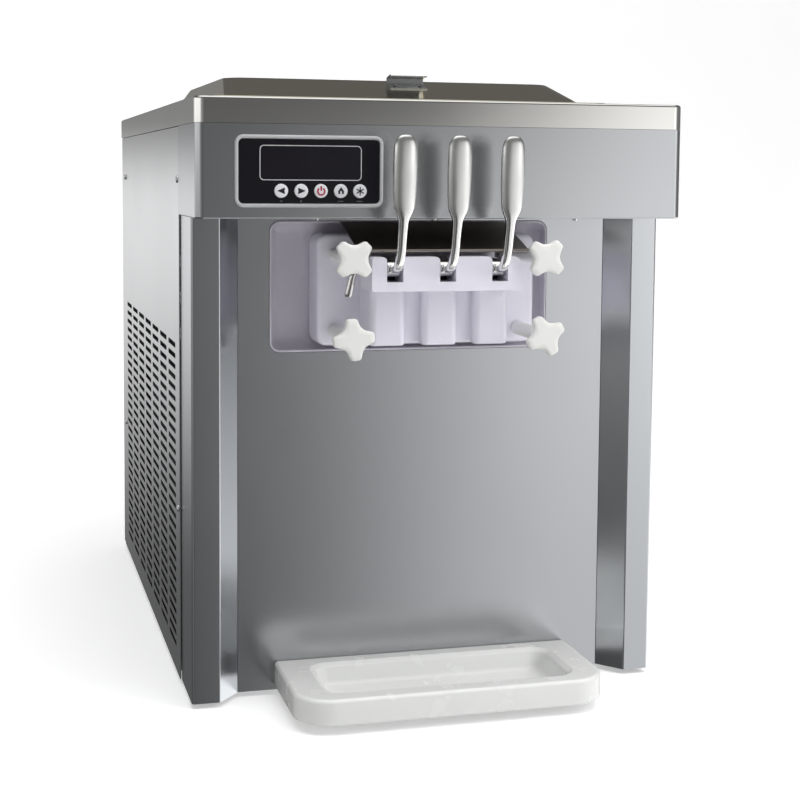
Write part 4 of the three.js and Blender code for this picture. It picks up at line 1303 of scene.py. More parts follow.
# ------------------------------------------------------------------ controls
@dataclass
class Controls:
    """The bezel, the smoked panel with its display, and five round keys with their marks."""

    corner: float = 9.0
    rim: float = 4.0
    window: tuple[float, float, float, float] = (25.8, 23.7, 28.0, 10.5)  # margins: left, right, below, above
    window_corner: float = 4.5
    line: float = 0.8
    keys: tuple[str, ...] = ("back", "forward", "power", "mix", "chill")

    def build(self) -> None:
        """Builds every piece of the control panel."""
        self.bezel()
        self.panel()
        for key in self.keys:
            self.key(key)

    def bezel(self) -> None:
        """A ring with a rounded face."""
        size = Extent.of("control_bezel")
        half, back, front = self.rim / 2, size.d1, size.d0
        crown = [
            (half - half * math.cos(a), back + (front - back) * math.sin(a) ** 0.6)
            for a in np.linspace(0.25, math.pi - 0.25, 9)
        ]
        profile = [(0.0, back), (0.0, back - 0.9), *crown, (self.rim, back - 0.9), (self.rim, back)]
        shell = stack(size.front, self.corner, Plane.FRONT, profile, endless=True)
        put("control_bezel", shell, Finishes.BEZEL)

    def panel(self) -> None:
        """A pane with holes for the keys, the display's window in a thin outline, and small signs."""
        size = Extent.of("control_glass")
        keys = [Extent.of(f"button_{key}") for key in self.keys]
        z, radius = keys[0].centre[2], (keys[0].x1 - keys[0].x0) / 2 + 0.3
        middles = np.array([key.centre[0] for key in keys])
        between = (middles[1:] + middles[:-1]) / 2
        u = np.concatenate([[middles[0] - 10.5], between, [middles[-1] + 10.5]])
        v = np.array([z - 10, z + 10])
        holes = {
            (n, 0): rounded((x - radius, x + radius, z - radius, z + radius), radius)
            for n, x in enumerate(middles)
        }
        rim = soft_edge(size.d0, size.d1, 0.3)
        plate = PunchedPlate(Plane.FRONT, size.front, self.corner - self.rim, rim, u, v, holes)
        put("control_glass", plate.shell(), Finishes.GLASS)
        left, right, below, above = self.window
        window = (size.x0 + left - 4.3, size.x1 - right + 4.3, size.z0 + below - 4.3, size.z1 - above + 4.3)
        front = size.d0
        line = [(0, front), (0, front - 0.15), (self.line, front - 0.15), (self.line, front)]
        outline = stack(window, self.window_corner, Plane.FRONT, line, endless=True)
        put("control_glass", outline, Finishes.LINE, "outline")
        glass = inset(window, self.line + 0.1)
        pane = pillow(glass, self.window_corner - 0.9, Plane.FRONT, front - 0.06, front, 0.03)
        put("control_glass", pane, Finishes.SCREEN, "window")
        self.signs(middles, z - 10.6, front)

    def signs(self, middles: Array, z: float, front: float) -> None:
        """A minus and a plus under the first two keys, and short rules under the last two."""

        def bar(x: float, wide: float, high: float) -> Shell:
            """A thin plate about (x, z)."""
            return pillow(
                (x - wide, x + wide, z - high, z + high), 0.1, Plane.FRONT, front - 0.12, front, 0.03
            )

        shells = [bar(middles[0], 1.2, 0.3), bar(middles[1], 1.2, 0.3), bar(middles[1], 0.3, 1.2)]
        shells += [bar(x, 3.0, 0.25) for x in middles[3:]]
        put("control_glass", joined(shells), Finishes.FAINT, "signs")

    def key(self, name: str) -> None:
        """A domed cap with a soft rim, and its mark on the face."""
        size = Extent.of(f"button_{name}")
        x, _, z = size.centre
        radius, front = (size.x1 - size.x0) / 2, size.d0
        back = Extent.of("control_glass").d0 + 0.1
        cap = [(0, front + 0.25), (radius * 0.5, front + 0.28), (radius - 1.3, front + 0.35)]
        cap += [(radius - 0.5, front + 0.6), (radius - 0.05, front + 1.1), (radius, back), (0, back)]
        put(f"button_{name}", revolve(cap, 1, (x, 0, z)), Finishes.KEY)
        finish = Finishes.CRIMSON if name == "power" else Finishes.INK
        outlines = MARKS[name]()
        marks = [prism(outline + (x, z), Plane.FRONT, front + 0.16, front + 0.32) for outline in outlines]
        put(f"button_{name}", joined(marks), finish, "mark")


def bar_mark(length: float, half: float, degrees: float, start: float = 0.0) -> Array:
    """A straight stroke from the middle outwards."""
    angle = math.radians(degrees)
    along, across = np.array([math.cos(angle), math.sin(angle)]), np.array(
        [-math.sin(angle), math.cos(angle)]
    )
    ends = [(start, -half), (length, -half), (length, half), (start, half)]
    return np.array([a * along + b * across for a, b in ends])


def arrow_mark(way: int) -> list[Array]:
    """A long triangle with a shallow notch in its back."""
    outline = np.array([[4.6, 0.0], [-3.9, 3.5], [-3.1, 0.0], [-3.9, -3.5]])
    return [filleted(outline * (way, 1), [0.3, 0.5, 0, 0.5], closed=True)]


def power_mark() -> list[Array]:
    """An open ring and a stroke through its gap."""
    outer, inner = arc((0, -0.4), 4.5, 126, 414, 28), arc((0, -0.4), 2.8, 414, 126, 28)
    return [np.array(outer + inner), bar_mark(5.0, 0.9, 90, 0.2)]


def mix_mark() -> list[Array]:
    """A drop whose foot is split by a notch."""
    corners = [
        (0, 4.2), (-3.4, -0.4), (-2.6, -3.2), (-0.9, -3.2), (-1.0, -0.8), (0, 0.5), (1.0, -0.8),
        (0.9, -3.2), (2.6, -3.2), (3.4, -0.4),
    ]
    return [filleted(corners, [0.3, 1.6, 0.9, 0.4, 0.6, 0.3, 0.6, 0.4, 0.9, 1.6], closed=True)]


def chill_mark() -> list[Array]:
    """A snowflake of six strokes."""
    return [bar_mark(4.4, 0.62, degrees) for degrees in range(30, 390, 60)]


MARKS: dict[str, Callable[[], list[Array]]] = {
    "back": lambda: arrow_mark(-1),
    "forward": lambda: arrow_mark(1),
    "power": power_mark,
    "mix": mix_mark,
    "chill": chill_mark,
}


# ------------------------------------------------------------------ dispensing group
@dataclass
class Dispenser:
    """The dish, the discharge block with its shield, rod, handles, plungers and knobs."""

    dish_wall: float = 2.5
    dish_floor: float = 110.0
    barrel_height: float = 452.0
    slot_half: float = 8.85
    slot_floor: float = 467.3
    crossbar_half: float = 83.0
    crossbar_low: float = 457.4
    crossbar_top: float = 493.8
    body_half: float = 77.0
    body_front: float = 26.0
    flange_front: float = 64.0
    pilaster_half: float = 19.2
    pilaster_front: float = 13.0
    bore: float = 14.3
    spout_bore: float = 7.0
    stud_bore: float = 4.6
    rod_bore: float = 3.3
    past_top: float = 520.0  # a height above the whole block, where upright cuts end
    tab_high: float = 10.0
    tab_span: tuple[float, float] = (36.0, 56.0)
    tab_offset: float = 77.0
    lip_radius: float = 1.6
    knob_turns: dict[str, float] = field(
        default_factory=lambda: {"upper_left": 45, "upper_right": 48, "lower_left": 7, "lower_right": 28}
    )

    def build(self) -> None:
        """Builds every piece of the dispensing group."""
        self.dish()
        self.block()
        self.rod()
        self.shield()
        for lane in LANES:
            self.handle(lane)
            self.plunger(lane)
        for name, turn in self.knob_turns.items():
            self.knob(name, turn)

    def lanes(self) -> list[float]:
        """The middle of each handle's lane."""
        return [float(Extent.of(f"handle_{lane}").centre[0]) for lane in LANES]

    def dish(self) -> None:
        """A moulded recess: a floor, walls that run into it by a wide radius and a lip behind the panel."""
        size, panel = Extent.of("front_surround"), Extent.of("front_panel")
        mouth = (size.x0 + 6.3, size.x1 - 6.3, size.z0 + 6.3, size.z1 - 2.8)
        t, floor, back, soft = self.dish_wall, self.dish_floor, self.dish_floor + self.dish_wall, 13.0
        profile = [(t + soft - u, floor - soft + v) for u, v in arc((0, 0), soft, 90, 0, 8)]
        profile.append((t, size.d0 + 1.2))
        profile += [(t - 1.1 + u, size.d0 + 1.1 - v) for u, v in arc((0, 0), 1.1, 0, 180, 7)]
        lip = panel.d1 + 0.3
        profile += [(0.3, lip), (-5.5, lip), (-5.5, lip + t), (0.3, lip + t), (0.3, back - soft)]
        profile += [(0.3 + soft - u, back - soft + v) for u, v in arc((0, 0), soft, 0, 90, 6)]
        body = stack(mouth, 12.0, Plane.FRONT, profile)
        ends = (self.lanes()[0], self.lanes()[2])
        cut = [round_bar((-14, 9), 44, 1, (x, floor, self.barrel_height), 48) for x in ends]
        for name in self.knob_turns:
            x, _, z = Extent.of(f"knob_{name}").centre
            cut.append(round_bar((-4, 9), self.stud_bore, 1, (x, floor, z), 20))
        put("front_surround", carved(body, cut=cut), Finishes.DISH, smooth=40)

    def crossbar_outline(self) -> Array:
        """The crossbar seen from the front: a bar with a rounded shoulder and one slot for each handle."""
        middle = self.lanes()[1]
        left, right = middle - self.crossbar_half, middle + self.crossbar_half
        low, top, half, floor = self.crossbar_low, self.crossbar_top, self.slot_half, self.slot_floor
        corners, radii = [(left, low), (right, low), (right, top)], [2, 2.5, 10]
        for x in reversed(self.lanes()):
            right_wall, left_wall = x + half, x - half
            corners += [(right_wall, top), (right_wall, floor), (left_wall, floor), (left_wall, top)]
            radii += [1.2, 0.8, 0.8, 4.5]
        return filleted(corners + [(left, top)], radii + [3], closed=True)

    def block(self) -> None:
        """The flange, the body, three pilasters and the crossbar as one skin, with its bores cut out."""
        size = Extent.of("discharge_block")
        plunger = Extent.of("plunger_middle")
        middle, back = self.lanes()[1], size.d1
        bore_d, bore_low = float(plunger.centre[1]), plunger.z0 - 0.5
        flange = pillow(size.front, 11, Plane.FRONT, self.flange_front, back, 5.0)
        body = (middle - self.body_half, middle + self.body_half, size.z0 + 5, 489.0)
        added = [
            pillow(body, 6, Plane.FRONT, self.body_front, self.flange_front + 6, 3.0),
            prism(self.crossbar_outline(), Plane.FRONT, size.d0, self.body_front + 5),
        ]
        cut = []
        for x in self.lanes():
            plan = (x - self.pilaster_half, x + self.pilaster_half, self.pilaster_front, bore_d + 16)
            added.append(
                stack(plan, (7, 7, 3, 3), Plane.TOP, soft_edge(size.z0 + 4, self.crossbar_low + 4, 2.0))
            )
            cut.append(round_bar((bore_low, self.past_top), self.bore, 2, (x, bore_d, 0), 40))
            cut.append(round_bar((380, 404), self.spout_bore, 2, (x, bore_d, 0)))
            slot = (x - self.slot_half, x + self.slot_half, self.slot_floor, self.past_top)
            cut.append(prism(rounded(slot, 0.5), Plane.FRONT, self.body_front - 4, bore_d))
        cut.append(round_bar((middle - 100, middle + 100), self.rod_bore, 0, (0, *self.pivot())))
        for name in self.knob_turns:
            x, _, z = Extent.of(f"knob_{name}").centre
            cut.append(round_bar((50, 120), self.stud_bore, 1, (x, 0, z), 20))
        put("discharge_block", carved(flange, added, cut), Finishes.BLOCK, smooth=38, bevel=0.7)

    def pivot(self) -> tuple[float, float]:
        """Depth and height of the line that the handles turn about."""
        joint = next(j for j in frame["joints"] if j["name"] == "handle_middle_pull")
        return joint["pos_m"][1] / MM - FACE, joint["pos_m"][2] / MM

    def rod(self) -> None:
        """A round bar through the crossbar whose left end swells a little and bends down into a hook."""
        size = Extent.of("pivot_rod")
        d, z = self.pivot()
        start = self.lanes()[1] - self.crossbar_half - 8
        radius = 3.0
        bend = [(start, d, z), (start - 5.6, d + 0.2, z - 1.5), (start - 9.3, d + 0.8, z - 6.5)]
        bend += [(start - 11.5, d + 1.9, z - 16), (start - 14, d + 3.2, size.z0 + 1.2)]
        hook = spline(bend, 26)
        straight = [(size.x1, d, z), (size.x1 - 1, d, z), (start + 20, d, z)]
        path = np.vstack([straight, hook, hook[-1] + (-0.15, 0.1, -1.0)])
        radii = radius + 1.1 * np.clip((start - 4 - path[:, 0]) / 9, 0, 1)
        radii[[0, -1]] -= 0.7
        put("pivot_rod", sweep(path, circle(radii, 20), (0, 1, 0)), Finishes.CHROME, smooth=50)

    def shield(self) -> None:
        """A sheet that slopes from its rolled front lip up and back under the head, on two tabs."""
        size = Extent.of("splash_shield")
        t, low, high = 1.1, size.z0 + self.tab_high, size.z1 - 1.1
        front, radius = size.d0 + self.lip_radius, self.lip_radius
        line = np.array([(front, low), (size.d1 - 0.4, high)])
        sheet = prism(sheet_outline(line, t), Plane.SIDE, size.x0, size.x1)
        roll = [(0, size.x0), (radius - 0.1, size.x0 + 0.1), (radius, size.x0 + 0.6)]
        roll += [(radius, size.x1 - 0.6), (radius - 0.1, size.x1 - 0.1), (0, size.x1)]
        lip = revolve(roll, 0, (0, front, low + 0.5), 20)

        def under(d: float) -> float:
            """Height of the sheet's underside at a depth."""
            return low + (d - front) * (high - low) / (size.d1 - 0.4 - front)

        near, far = self.tab_span
        side = np.array([(near, size.z0), (far, size.z0), (far, under(far) + 0.2), (near, under(near) + 0.2)])
        middles = [self.lanes()[1] + way * self.tab_offset for way in (-1, 1)]
        tabs = [prism(side, Plane.SIDE, x - 2, x + 2) for x in middles]
        put("splash_shield", joined([sheet, lip, *tabs]), Finishes.SHIELD, bevel=0.15)

    def handle(self, lane: str) -> None:
        """A cast pull handle: a hub on the rod, a bent stem, a neck and a long flat paddle with a round top.

        The centre line is a smooth line from the hub upwards. The half width and the half thickness at
        each point of it are smooth lines through a few stations.
        """
        node = f"handle_{lane}"
        size = Extent.of(node)
        x = float(size.centre[0])
        d, z = self.pivot()
        centre = [(0, 0), (-11, 0.3), (-21, 2.2), (-30, 9), (-35.5, 20), (-39, 34), (-42.6, 48), (-45.2, 60)]
        centre += [(-47.2, 80), (-49, 104), (-50.4, 126), (-51.2, 139.9)]
        line = spline(centre, 120)
        length = np.concatenate([[0], np.cumsum(np.linalg.norm(np.diff(line, axis=0), axis=1))])
        left = length[-1] - length  # distance from the tip
        stations = [0, 0.8, 2.6, 6, 11, 18, 28, 44, 60, 72, 77, 81, 85, 89, 95, 120, 150, 190, 260]
        wide = [
            3.2, 5.6, 8.2, 10.5, 11.9, 12.5, 12.7, 12.6, 12.0, 11.2, 10.3, 8.6, 6.6, 5.4, 5.0, 4.7, 4.7,
            4.7, 4.7,
        ]
        thick = [
            1.2, 2.2, 3.4, 4.4, 5.0, 5.5, 5.8, 5.8, 5.6, 5.4, 5.2, 5.0, 4.8, 4.6, 4.4, 4.3, 4.3, 4.3, 4.3
        ]
        half, deep = (np.interp(left, stations, values) for values in (wide, thick))
        kernel = np.hanning(5) / np.hanning(5).sum()
        inner = slice(2, -2)
        half[inner], deep[inner] = (np.convolve(values, kernel, "valid") for values in (half, deep))
        path = np.stack([np.zeros(len(line)), line[:, 0], line[:, 1]], -1)
        blade = sweep(path, circle(half, 40, 2.7, deep / half), (1, 0, 0))
        hub = [(3.3, -7.2), (7.6, -7.2), (8.5, -6.3), (8.5, 6.3), (7.6, 7.2), (3.3, 7.2)]
        edge = [(6, -4.2), (13, -2.6), (23.5, -2.6), (25, 0), (23.5, 2.6), (13, 2.6), (6, 4.2)]
        lever = prism(filleted(edge, [0, 3, 2, 2, 2, 3, 0], closed=True), Plane.SIDE, -3, 3)
        added = [revolve(hub, 0, (0, 0, 0), 36, endless=True), lever]
        skin = carved(blade, added, [round_bar((-20, 20), self.rod_bore, 0, (0, 0, 0))])
        put(node, skin.moved(x, d, z), Finishes.HANDLE, smooth=50)

    def plunger(self, lane: str) -> None:
        """A turned plunger with seal rings and a waist for the handle's lever."""
        node = f"plunger_{lane}"
        size = Extent.of(node)
        _, pivot_z = self.pivot()
        r, core, low, high = (size.x1 - size.x0) / 2, 5.0, pivot_z - 4.8, pivot_z + 4.8

        def groove(h: float) -> list[tuple[float, float]]:
            """Profile of a groove for a seal ring at a height."""
            return [
                (r, h - 2.4), (r - 0.4, h - 2), (r - 2, h - 2), (r - 2, h + 2), (r - 0.4, h + 2),
                (r, h + 2.4),
            ]

        profile = [
            (0, size.z0), (r - 0.8, size.z0), (r, size.z0 + 0.8), *groove(size.z0 + 9.5),
            *groove(size.z0 + 50)
        ]
        profile += [
            (r, low - 0.6), (r - 0.6, low), (core, low), (core, high), (r - 1.4, high), (r - 1, high + 0.4)
        ]
        profile += [(r - 1, size.z1 - 0.5), (r - 1.5, size.z1), (0, size.z1)]
        place = (*size.centre[:2], 0)
        put(node, revolve(profile, 2, place), Finishes.SEAL)
        rings = [
            revolve(
                [(r - 1.9 + u, size.z0 + h + v) for u, v in arc((0, 0), 1.7, 0, 324, 10)], 2, place,
                endless=True,
            )
            for h in (9.5, 50)
        ]
        put(node, joined(rings), Finishes.RUBBER, "rings")

    def knob(self, name: str, turn: float) -> None:
        """A four-armed star on a round shank, on its stud. Its arms are blunt and its sides hollow.

        Args:
            name: which knob.
            turn: the angle of its first arm in degrees.
        """
        node = f"knob_{name}"
        size = Extent.of(node)
        x, _, z = size.centre
        front, tip, half, waist = size.d0, 22.0, 4.9, 13.2
        corners, radii = [], []
        for arm in np.radians(turn + 90 * np.arange(4)):
            along, across = np.array([math.cos(arm), math.sin(arm)]), np.array(
                [-math.sin(arm), math.cos(arm)]
            )
            corners += [
                tip * along - half * across, tip * along + half * across,
                waist * (along + across) / math.sqrt(2),
            ]
            radii += [3.4, 3.4, 13.0]
        outline = filleted(corners, radii, closed=True, steps=8)
        reach = np.linalg.norm(outline, axis=1, keepdims=True)
        rims = [(6.5, front), (4.0, front + 0.25), *soft_edge(front + 0.7, front + 10, 2.4, 6)]
        star = loft(np.array([Plane.FRONT.place(outline * (1 - i / reach), h) for i, h in rims]))
        shank_end = self.flange_front - 0.3
        shank = [
            (0, front + 8), (9.2, front + 8), (8.4, front + 11.5), (7.5, front + 14), (7.5, shank_end - 1)
        ]
        shank += [(7.0, shank_end), (4, shank_end), (4, size.d1 - 1.5), (2.6, size.d1), (0, size.d1)]
        pieces = [star.moved(x, 0, z), revolve(shank, 1, (x, 0, z), 40)]
        put(node, joined(pieces), Finishes.KNOB, smooth=44)


@dataclass
class DripTray:
    """A thick moulded tray with a rounded front, a soft rim and a sloping basin with a step round its lip."""

    corner: float = 40.0
    basin: Rect = (-138.0, 140.0, -38.0, 64.0)
    basin_corner: float = 22.0
    floor: float = 5.0

    def build(self) -> None:
        """Builds the tray."""
        size = Extent.of("drip_tray")
        top, low, soft = size.z1, size.z0, 4.0
        corner = np.array([self.corner, self.corner, 5.0, 5.0])
        outline = [(2.5, low), (0.6, low + 0.7), (0, low + 2.5)]
        outline += [(soft - u, top - soft + v) for u, v in arc((0, 0), soft, 0, 90, 8)]
        rings = [ring(inset(size.plan, i), corner - i, Plane.TOP, h) for i, h in outline]
        ledge, slope = 1.6, 14.0
        bottom = low + self.floor
        basin = [
            (-3.0, top - 0.05), (-1.2, top - 0.4), (-0.2, top - ledge), (3.0, top - ledge - 0.9),
            (4.6, top - ledge - 2.6),
        ]
        basin += [
            (slope * 0.75, bottom + 5.5), (slope, bottom + 1.6), (slope + 3.5, bottom + 0.2),
            (slope + 9, bottom),
        ]
        for i, h in basin:
            rings.append(ring(inset(self.basin, i), self.basin_corner - min(i, 12), Plane.TOP, h))
        put("drip_tray", loft(np.array(rings)), Finishes.TRAY, smooth=50)


# ------------------------------------------------------------------ works inside
@dataclass
class Works:
    """Freezing cylinders, beaters, drive and refrigeration."""

    fin_pitch: float = 4.4
    fin: float = 0.5
    blades: int = 5

    def build(self) -> None:
        """Builds or dresses every piece of the works."""
        for side, _ in SIDES:
            self.cylinder(side)
            dress(f"beater_{side}", Finishes.BEATER)
        dress("gearbox", Finishes.IRON)
        self.drive_motor()
        self.compressor()
        self.condenser()
        self.fan()

    def cylinder(self, side: str) -> None:
        """A freezing cylinder with a rolled front rim and a bored back wall."""
        size = Extent.of(f"cylinder_{side}")
        x, _, z = size.centre
        outer, inner, shaft = (size.x1 - size.x0) / 2, 44.0, 6.6
        profile = [(inner, size.d0 + 1), (inner + 1, size.d0), (outer - 1, size.d0), (outer, size.d0 + 1)]
        profile += [(outer, size.d1 - 2), (outer - 2, size.d1), (shaft, size.d1), (shaft, size.d1 - 6)]
        profile += [(inner, size.d1 - 6)]
        put(f"cylinder_{side}", revolve(profile, 1, (x, 0, z), 64, endless=True), Finishes.BARREL)

    def drive_motor(self) -> None:
        """A ribbed motor can with an end bell."""
        size = Extent.of("drive_motor")
        x, _, z = size.centre
        along = np.linspace(size.d0 + 10, size.d1 - 34, 60)
        rib = 60.8 + 1.2 * np.sign(np.sin((along - along[0]) * 0.9))
        profile = [(0, size.d0), (57, size.d0), (60, size.d0 + 4), *zip(rib, along)]
        profile += [(60, size.d1 - 26), (54, size.d1 - 6), (40, size.d1 - 1), (0, size.d1)]
        put("drive_motor", revolve(profile, 1, (x, 0, z), 56), Finishes.MOTOR)

    def compressor(self) -> None:
        """A sealed can: two deep drawn halves with a welded seam between them."""
        size = Extent.of("compressor")
        radius, high, seam = (size.x1 - size.x0) / 2, size.z1 - size.z0, 78.0
        line = [(0, 0), (60, 0), (72, 8), (79, 30), (79.5, seam - 3), (radius, seam - 2), (radius, seam + 2)]
        line += [(79.5, seam + 3), (78.5, 112), (72, 142), (56, 166), (32, 181), (12, high - 0.6), (0, high)]
        place = (*size.centre[:2], size.z0)
        radii = [0] + [4] * (len(line) - 2) + [0]
        put("compressor", revolve(filleted(line, radii, steps=4), 2, place, 64), Finishes.ENAMEL)

    def condenser(self) -> None:
        """A stack of thin fins between two end plates, on copper runs joined by return bends."""
        size = Extent.of("condenser")
        x0, x1 = size.x0 + 1, size.x1 - 1
        fins = [
            prism(rounded((x0, x1, size.z0, size.z1), 0.4, 2), Plane.FRONT, d, d + self.fin)
            for d in np.arange(size.d0 + 8, size.d1 - 8, self.fin_pitch)
        ]
        plates = [
            pillow((size.x0, size.x1, size.z0, size.z1), 1, Plane.FRONT, d, d + 1.5, 0.3)
            for d in (size.d0 + 5, size.d1 - 6)
        ]
        put("condenser", joined(fins + plates), Finishes.FINS)
        middle, reach = (x0 + x1) / 2, 4.0
        rows = np.arange(size.z0 + 22, size.z1 - 12, 36.0)
        ends = (size.d0 + 1, size.d1 - 1)
        runs = [round_bar(ends, 4, 1, (middle, 0, z), 14) for z in rows]
        for n, z in enumerate(rows[:-1]):
            end = size.d0 + reach + 0.5 if n % 2 else size.d1 - reach - 0.5
            way = -1 if n % 2 else 1
            turn = np.array(arc((0, 0), 1.0, -90, 90, 14))
            path = np.stack([np.full(14, middle), end + way * turn[:, 0] * 0.4, z + 18 + 18 * turn[:, 1]], -1)
            runs.append(sweep(path, circle(3.6, 12), (1, 0, 0)))
        put("condenser", joined(runs), Finishes.COPPER, "pipes")

    def fan(self) -> None:
        """A hub with twisted blades, and its motor. A blade's chord turns and narrows along its length."""
        size, motor = Extent.of("condenser_fan"), Extent.of("fan_motor")
        x = (size.x0 + size.x1) / 2
        _, d, z = motor.centre
        hub = revolve([(0, -8), (20, -8), (25, -5), (26, 0), (26, 7), (0, 8)], 0, (x, d, z), 40)
        along, chord = np.meshgrid(np.linspace(22, 116, 14), np.linspace(-1, 1, 9), indexing="ij")
        width = 27 - 0.05 * (along - 22)
        pitch = np.radians(24 - 0.12 * (along - 22))
        run = chord * width
        side = run * np.sin(pitch) + 2.0 * chord**2
        blade = np.stack([side, run * np.cos(pitch) + 0.1 * (along - 22), along], -1)
        thickness = (1.1, 0, 0)
        rim = np.concatenate([blade - thickness, (blade + thickness)[:, ::-1]], axis=1)
        blades = [loft(rim).turned(0, 72.0 * n).moved(x, d, z) for n in range(self.blades)]
        put("condenser_fan", joined([hub, *blades]), Finishes.DARK)
        radius = (motor.z1 - motor.z0) / 2
        can = [
            (0, motor.x0), (radius - 4, motor.x0), (radius, motor.x0 + 4), (radius, motor.x1 - 4),
            (radius - 4, motor.x1), (0, motor.x1),
        ]
        put("fan_motor", revolve(can, 0, (0, d, z), 48), Finishes.MOTOR)


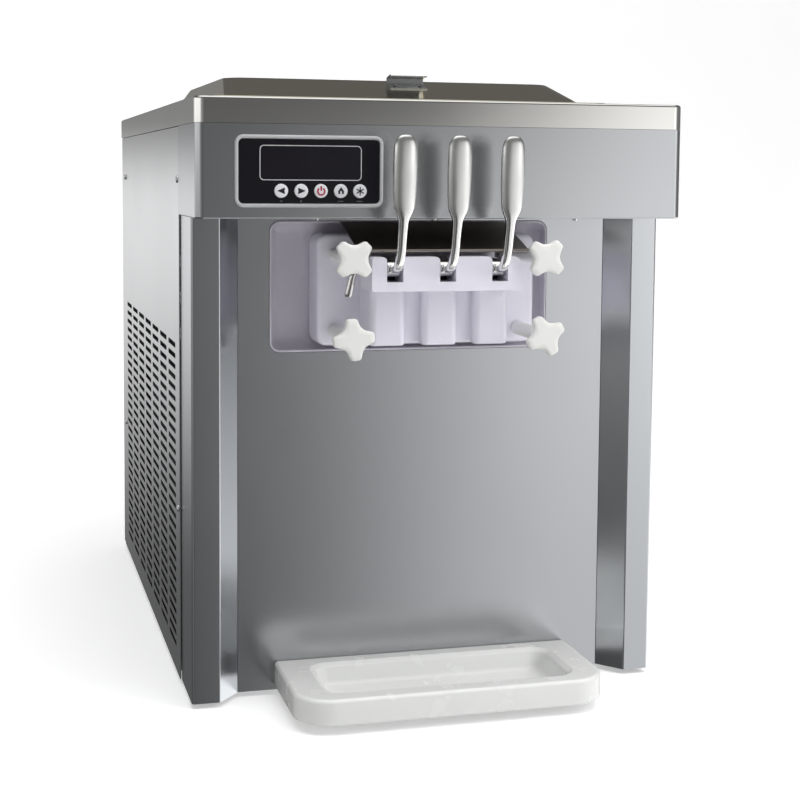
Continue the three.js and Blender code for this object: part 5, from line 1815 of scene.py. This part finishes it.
# ------------------------------------------------------------------ studio
@dataclass
class Studio:
    """Camera, floor, lights and surroundings. Places are in metres."""

    eye: tuple[float, float, float] = (-0.48394, -1.97293, 0.58098)
    yaw: float = 15.2289
    pitch: float = 4.6485
    roll: float = 0.4486
    lens: float = 69.866
    shift: float = -0.125
    above: Profile = (
        (-180, 0.25), (-150, 0.25), (-128, 1.0), (-115, 1.4), (-50, 1.4), (-38, 0.4), (-12, 0.16), (0, 0.12),
        (17, 0.14), (21, 0.6), (25, 1.3), (38, 1.8), (52, 0.8), (62, 0.25), (110, 0.2), (160, 0.3),
        (180, 0.25),
    )
    level: Profile = (
        (-180, 1.0), (-140, 1.0), (-115, 0.5), (-77, 0.32), (-50, 0.4), (-30, 0.4), (-12, 0.2), (0, 0.18),
        (10, 0.18), (15, 0.42), (20, 1.25), (26, 1.6), (38, 1.9), (50, 0.5), (62, 0.1), (110, 0.08),
        (135, 0.6), (160, 1.0), (180, 1.0),
    )
    below: Profile = (
        (-180, 0.12), (-140, 0.1), (-77, 0.08), (-50, 0.2), (-30, 0.2), (-10, 0.07), (10, 0.07), (15, 0.36),
        (20, 1.2), (23, 0.9), (40, 0.9), (58, 1.7), (110, 1.7), (150, 0.4), (180, 0.12),
    )
    overhead: tuple[float, float] = (0.14, 1.4)

    def build(self) -> None:
        """Sets up everything round the machine."""
        self.camera()
        self.floor()
        self.lights()
        self.surroundings()
        scene = bpy.context.scene
        scene.view_settings.view_transform = "Standard"
        scene.view_settings.look = "None"

    def camera(self) -> None:
        """A level camera in front of the machine and to its left, turned by yaw, pitch and roll."""
        yaw, pitch, roll = (math.radians(a) for a in (self.yaw, self.pitch, self.roll))
        forward = np.array(
            [math.sin(yaw) * math.cos(pitch), math.cos(yaw) * math.cos(pitch), -math.sin(pitch)]
        )
        right = np.array([math.cos(yaw), -math.sin(yaw), 0.0])
        up = np.cross(right, forward)
        across = right * math.cos(roll) + up * math.sin(roll)
        upward = up * math.cos(roll) - right * math.sin(roll)
        pose = np.eye(4)
        pose[:3, 0], pose[:3, 1], pose[:3, 2], pose[:3, 3] = across, upward, -forward, self.eye
        data = bpy.data.cameras.new("camera")
        data.lens, data.shift_y, data.sensor_width = self.lens, self.shift, 36.0
        camera = bpy.data.objects.new("camera", data)
        camera.matrix_world = pose.T.tolist()
        bpy.context.scene.collection.objects.link(camera)
        bpy.context.scene.camera = camera

    def floor(self) -> None:
        """A pale floor that sweeps up behind the machine."""
        line = filleted([(-4.0, 0.0), (3.2, 0.0), (3.2, 3.4)], [0, 1.4, 0], steps=24)
        side = np.array([-4.5, 4.5])
        points = np.stack([np.repeat(side, len(line)), np.tile(line[:, 0], 2), np.tile(line[:, 1], 2)], -1)
        shell = loft(points.reshape(2, len(line), 3), closed=False, caps=False)
        mesh = bpy.data.meshes.new("floor")
        mesh.from_pydata(shell.points.tolist(), [], [face[::-1] for face in shell.faces])
        mesh.materials.append(Finishes.FLOOR.material())
        mesh.polygons.foreach_set("use_smooth", np.ones(len(mesh.polygons), bool))
        floor = bpy.data.objects.new("floor", mesh)
        floor.visible_glossy = False
        bpy.context.scene.collection.objects.link(floor)

    def lights(self) -> None:
        """Soft boxes that only light: a key on the right and a top light. The room gives the reflections."""
        self.soft_box("key", (1.9, -1.7, 1.6), (0, 0, 0.35), (1.3, 1.3), 28)
        self.soft_box("top", (0.3, -0.9, 2.7), (0, -0.2, 0.2), (2.2, 2.2), 46)

    def soft_box(self, name: str, place: tuple, aim: tuple, size: tuple, power: float) -> None:
        """Adds a rectangular light that reflections don't show.

        Args:
            name: the light's name.
            place: where it stands.
            aim: the point it faces.
            size: its width and height.
            power: its power in watts.
        """
        data = bpy.data.lights.new(name, "AREA")
        data.shape, data.size, data.size_y, data.energy = "RECTANGLE", *size, power
        light = bpy.data.objects.new(name, data)
        light.visible_glossy = False
        back = np.array(place, float) - np.array(aim, float)
        back /= np.linalg.norm(back)
        across = np.cross([0, 0, 1.0], back)
        across /= np.linalg.norm(across)
        pose = np.eye(4)
        pose[:3, 0], pose[:3, 1], pose[:3, 2], pose[:3, 3] = across, np.cross(back, across), back, place
        light.matrix_world = pose.T.tolist()
        bpy.context.scene.collection.objects.link(light)

    def surroundings(self) -> None:
        """A room given by brightness round the machine at eye level, below it and overhead.

        The turn is measured in degrees from straight in front of the machine towards its right.
        """
        world = bpy.data.worlds.new("room")
        bpy.context.scene.world = world
        world.use_nodes = True
        graph = Graph(world.node_tree)
        way = graph.node("TexCoord").outputs["Generated"]
        parts = graph.node("SeparateXYZ", {0: way}).outputs
        turn = graph.math("ARCTAN2", parts[0], graph.math("MULTIPLY", parts[1], -1.0))
        share = graph.math("ADD", graph.math("DIVIDE", turn, 2 * math.pi), 0.5)
        rise = graph.math("MULTIPLY", graph.math("ARCSINE", parts[2]), 180 / math.pi)
        rings = (self.above, self.level, self.below)
        above, level, below = (self.ring_of_light(graph, share, stops) for stops in rings)
        round_about = graph.mix(graph.spread(rise, -15.0, -1.0, 1.0, 0.0), level, below)
        round_about = graph.mix(graph.spread(rise, -1.0, 2.0, 0.0, 1.0), round_about, above)
        ceiling = graph.spread(rise, 46.0, 66.0, *self.overhead)
        colour = graph.mix(graph.spread(rise, 9.0, 18.0, 0.0, 1.0), round_about, ceiling)
        seen = graph.node("LightPath").outputs["Is Camera Ray"]
        colour = graph.mix(seen, colour, (1.0, 1.0, 1.0))
        graph.feed(world.node_tree.nodes["Background"].inputs["Color"], colour)

    def ring_of_light(self, graph: Graph, share: object, stops: Profile) -> bpy.types.NodeSocket:
        """A ramp of brightness over the turn.

        Args:
            graph: the world's graph.
            share: the turn as a share of a whole one, from -180 degrees.
            stops: turn in degrees and brightness.

        Returns:
            The ramp's colour.
        """
        node = graph.node("ValToRGB", {0: share})
        ramp = node.color_ramp
        ramp.elements.remove(ramp.elements[1])
        for n, (degrees, value) in enumerate(stops):
            stop = ramp.elements[0] if n == 0 else ramp.elements.new(degrees / 360 + 0.5)
            stop.position, stop.color = degrees / 360 + 0.5, (value, value, value, 1.0)
        return node.outputs[0]


def main() -> None:
    """Builds the studio and then the machine, one sub-assembly at a time."""
    logging.basicConfig(level=logging.INFO, format="%(message)s")
    for assembly in (Studio(), Body(), MainsInlet(), Head(), Controls(), Dispenser(), DripTray(), Works()):
        LOG.info("building %s", type(assembly).__name__)
        assembly.build()


if __name__ == "__main__":
    main()
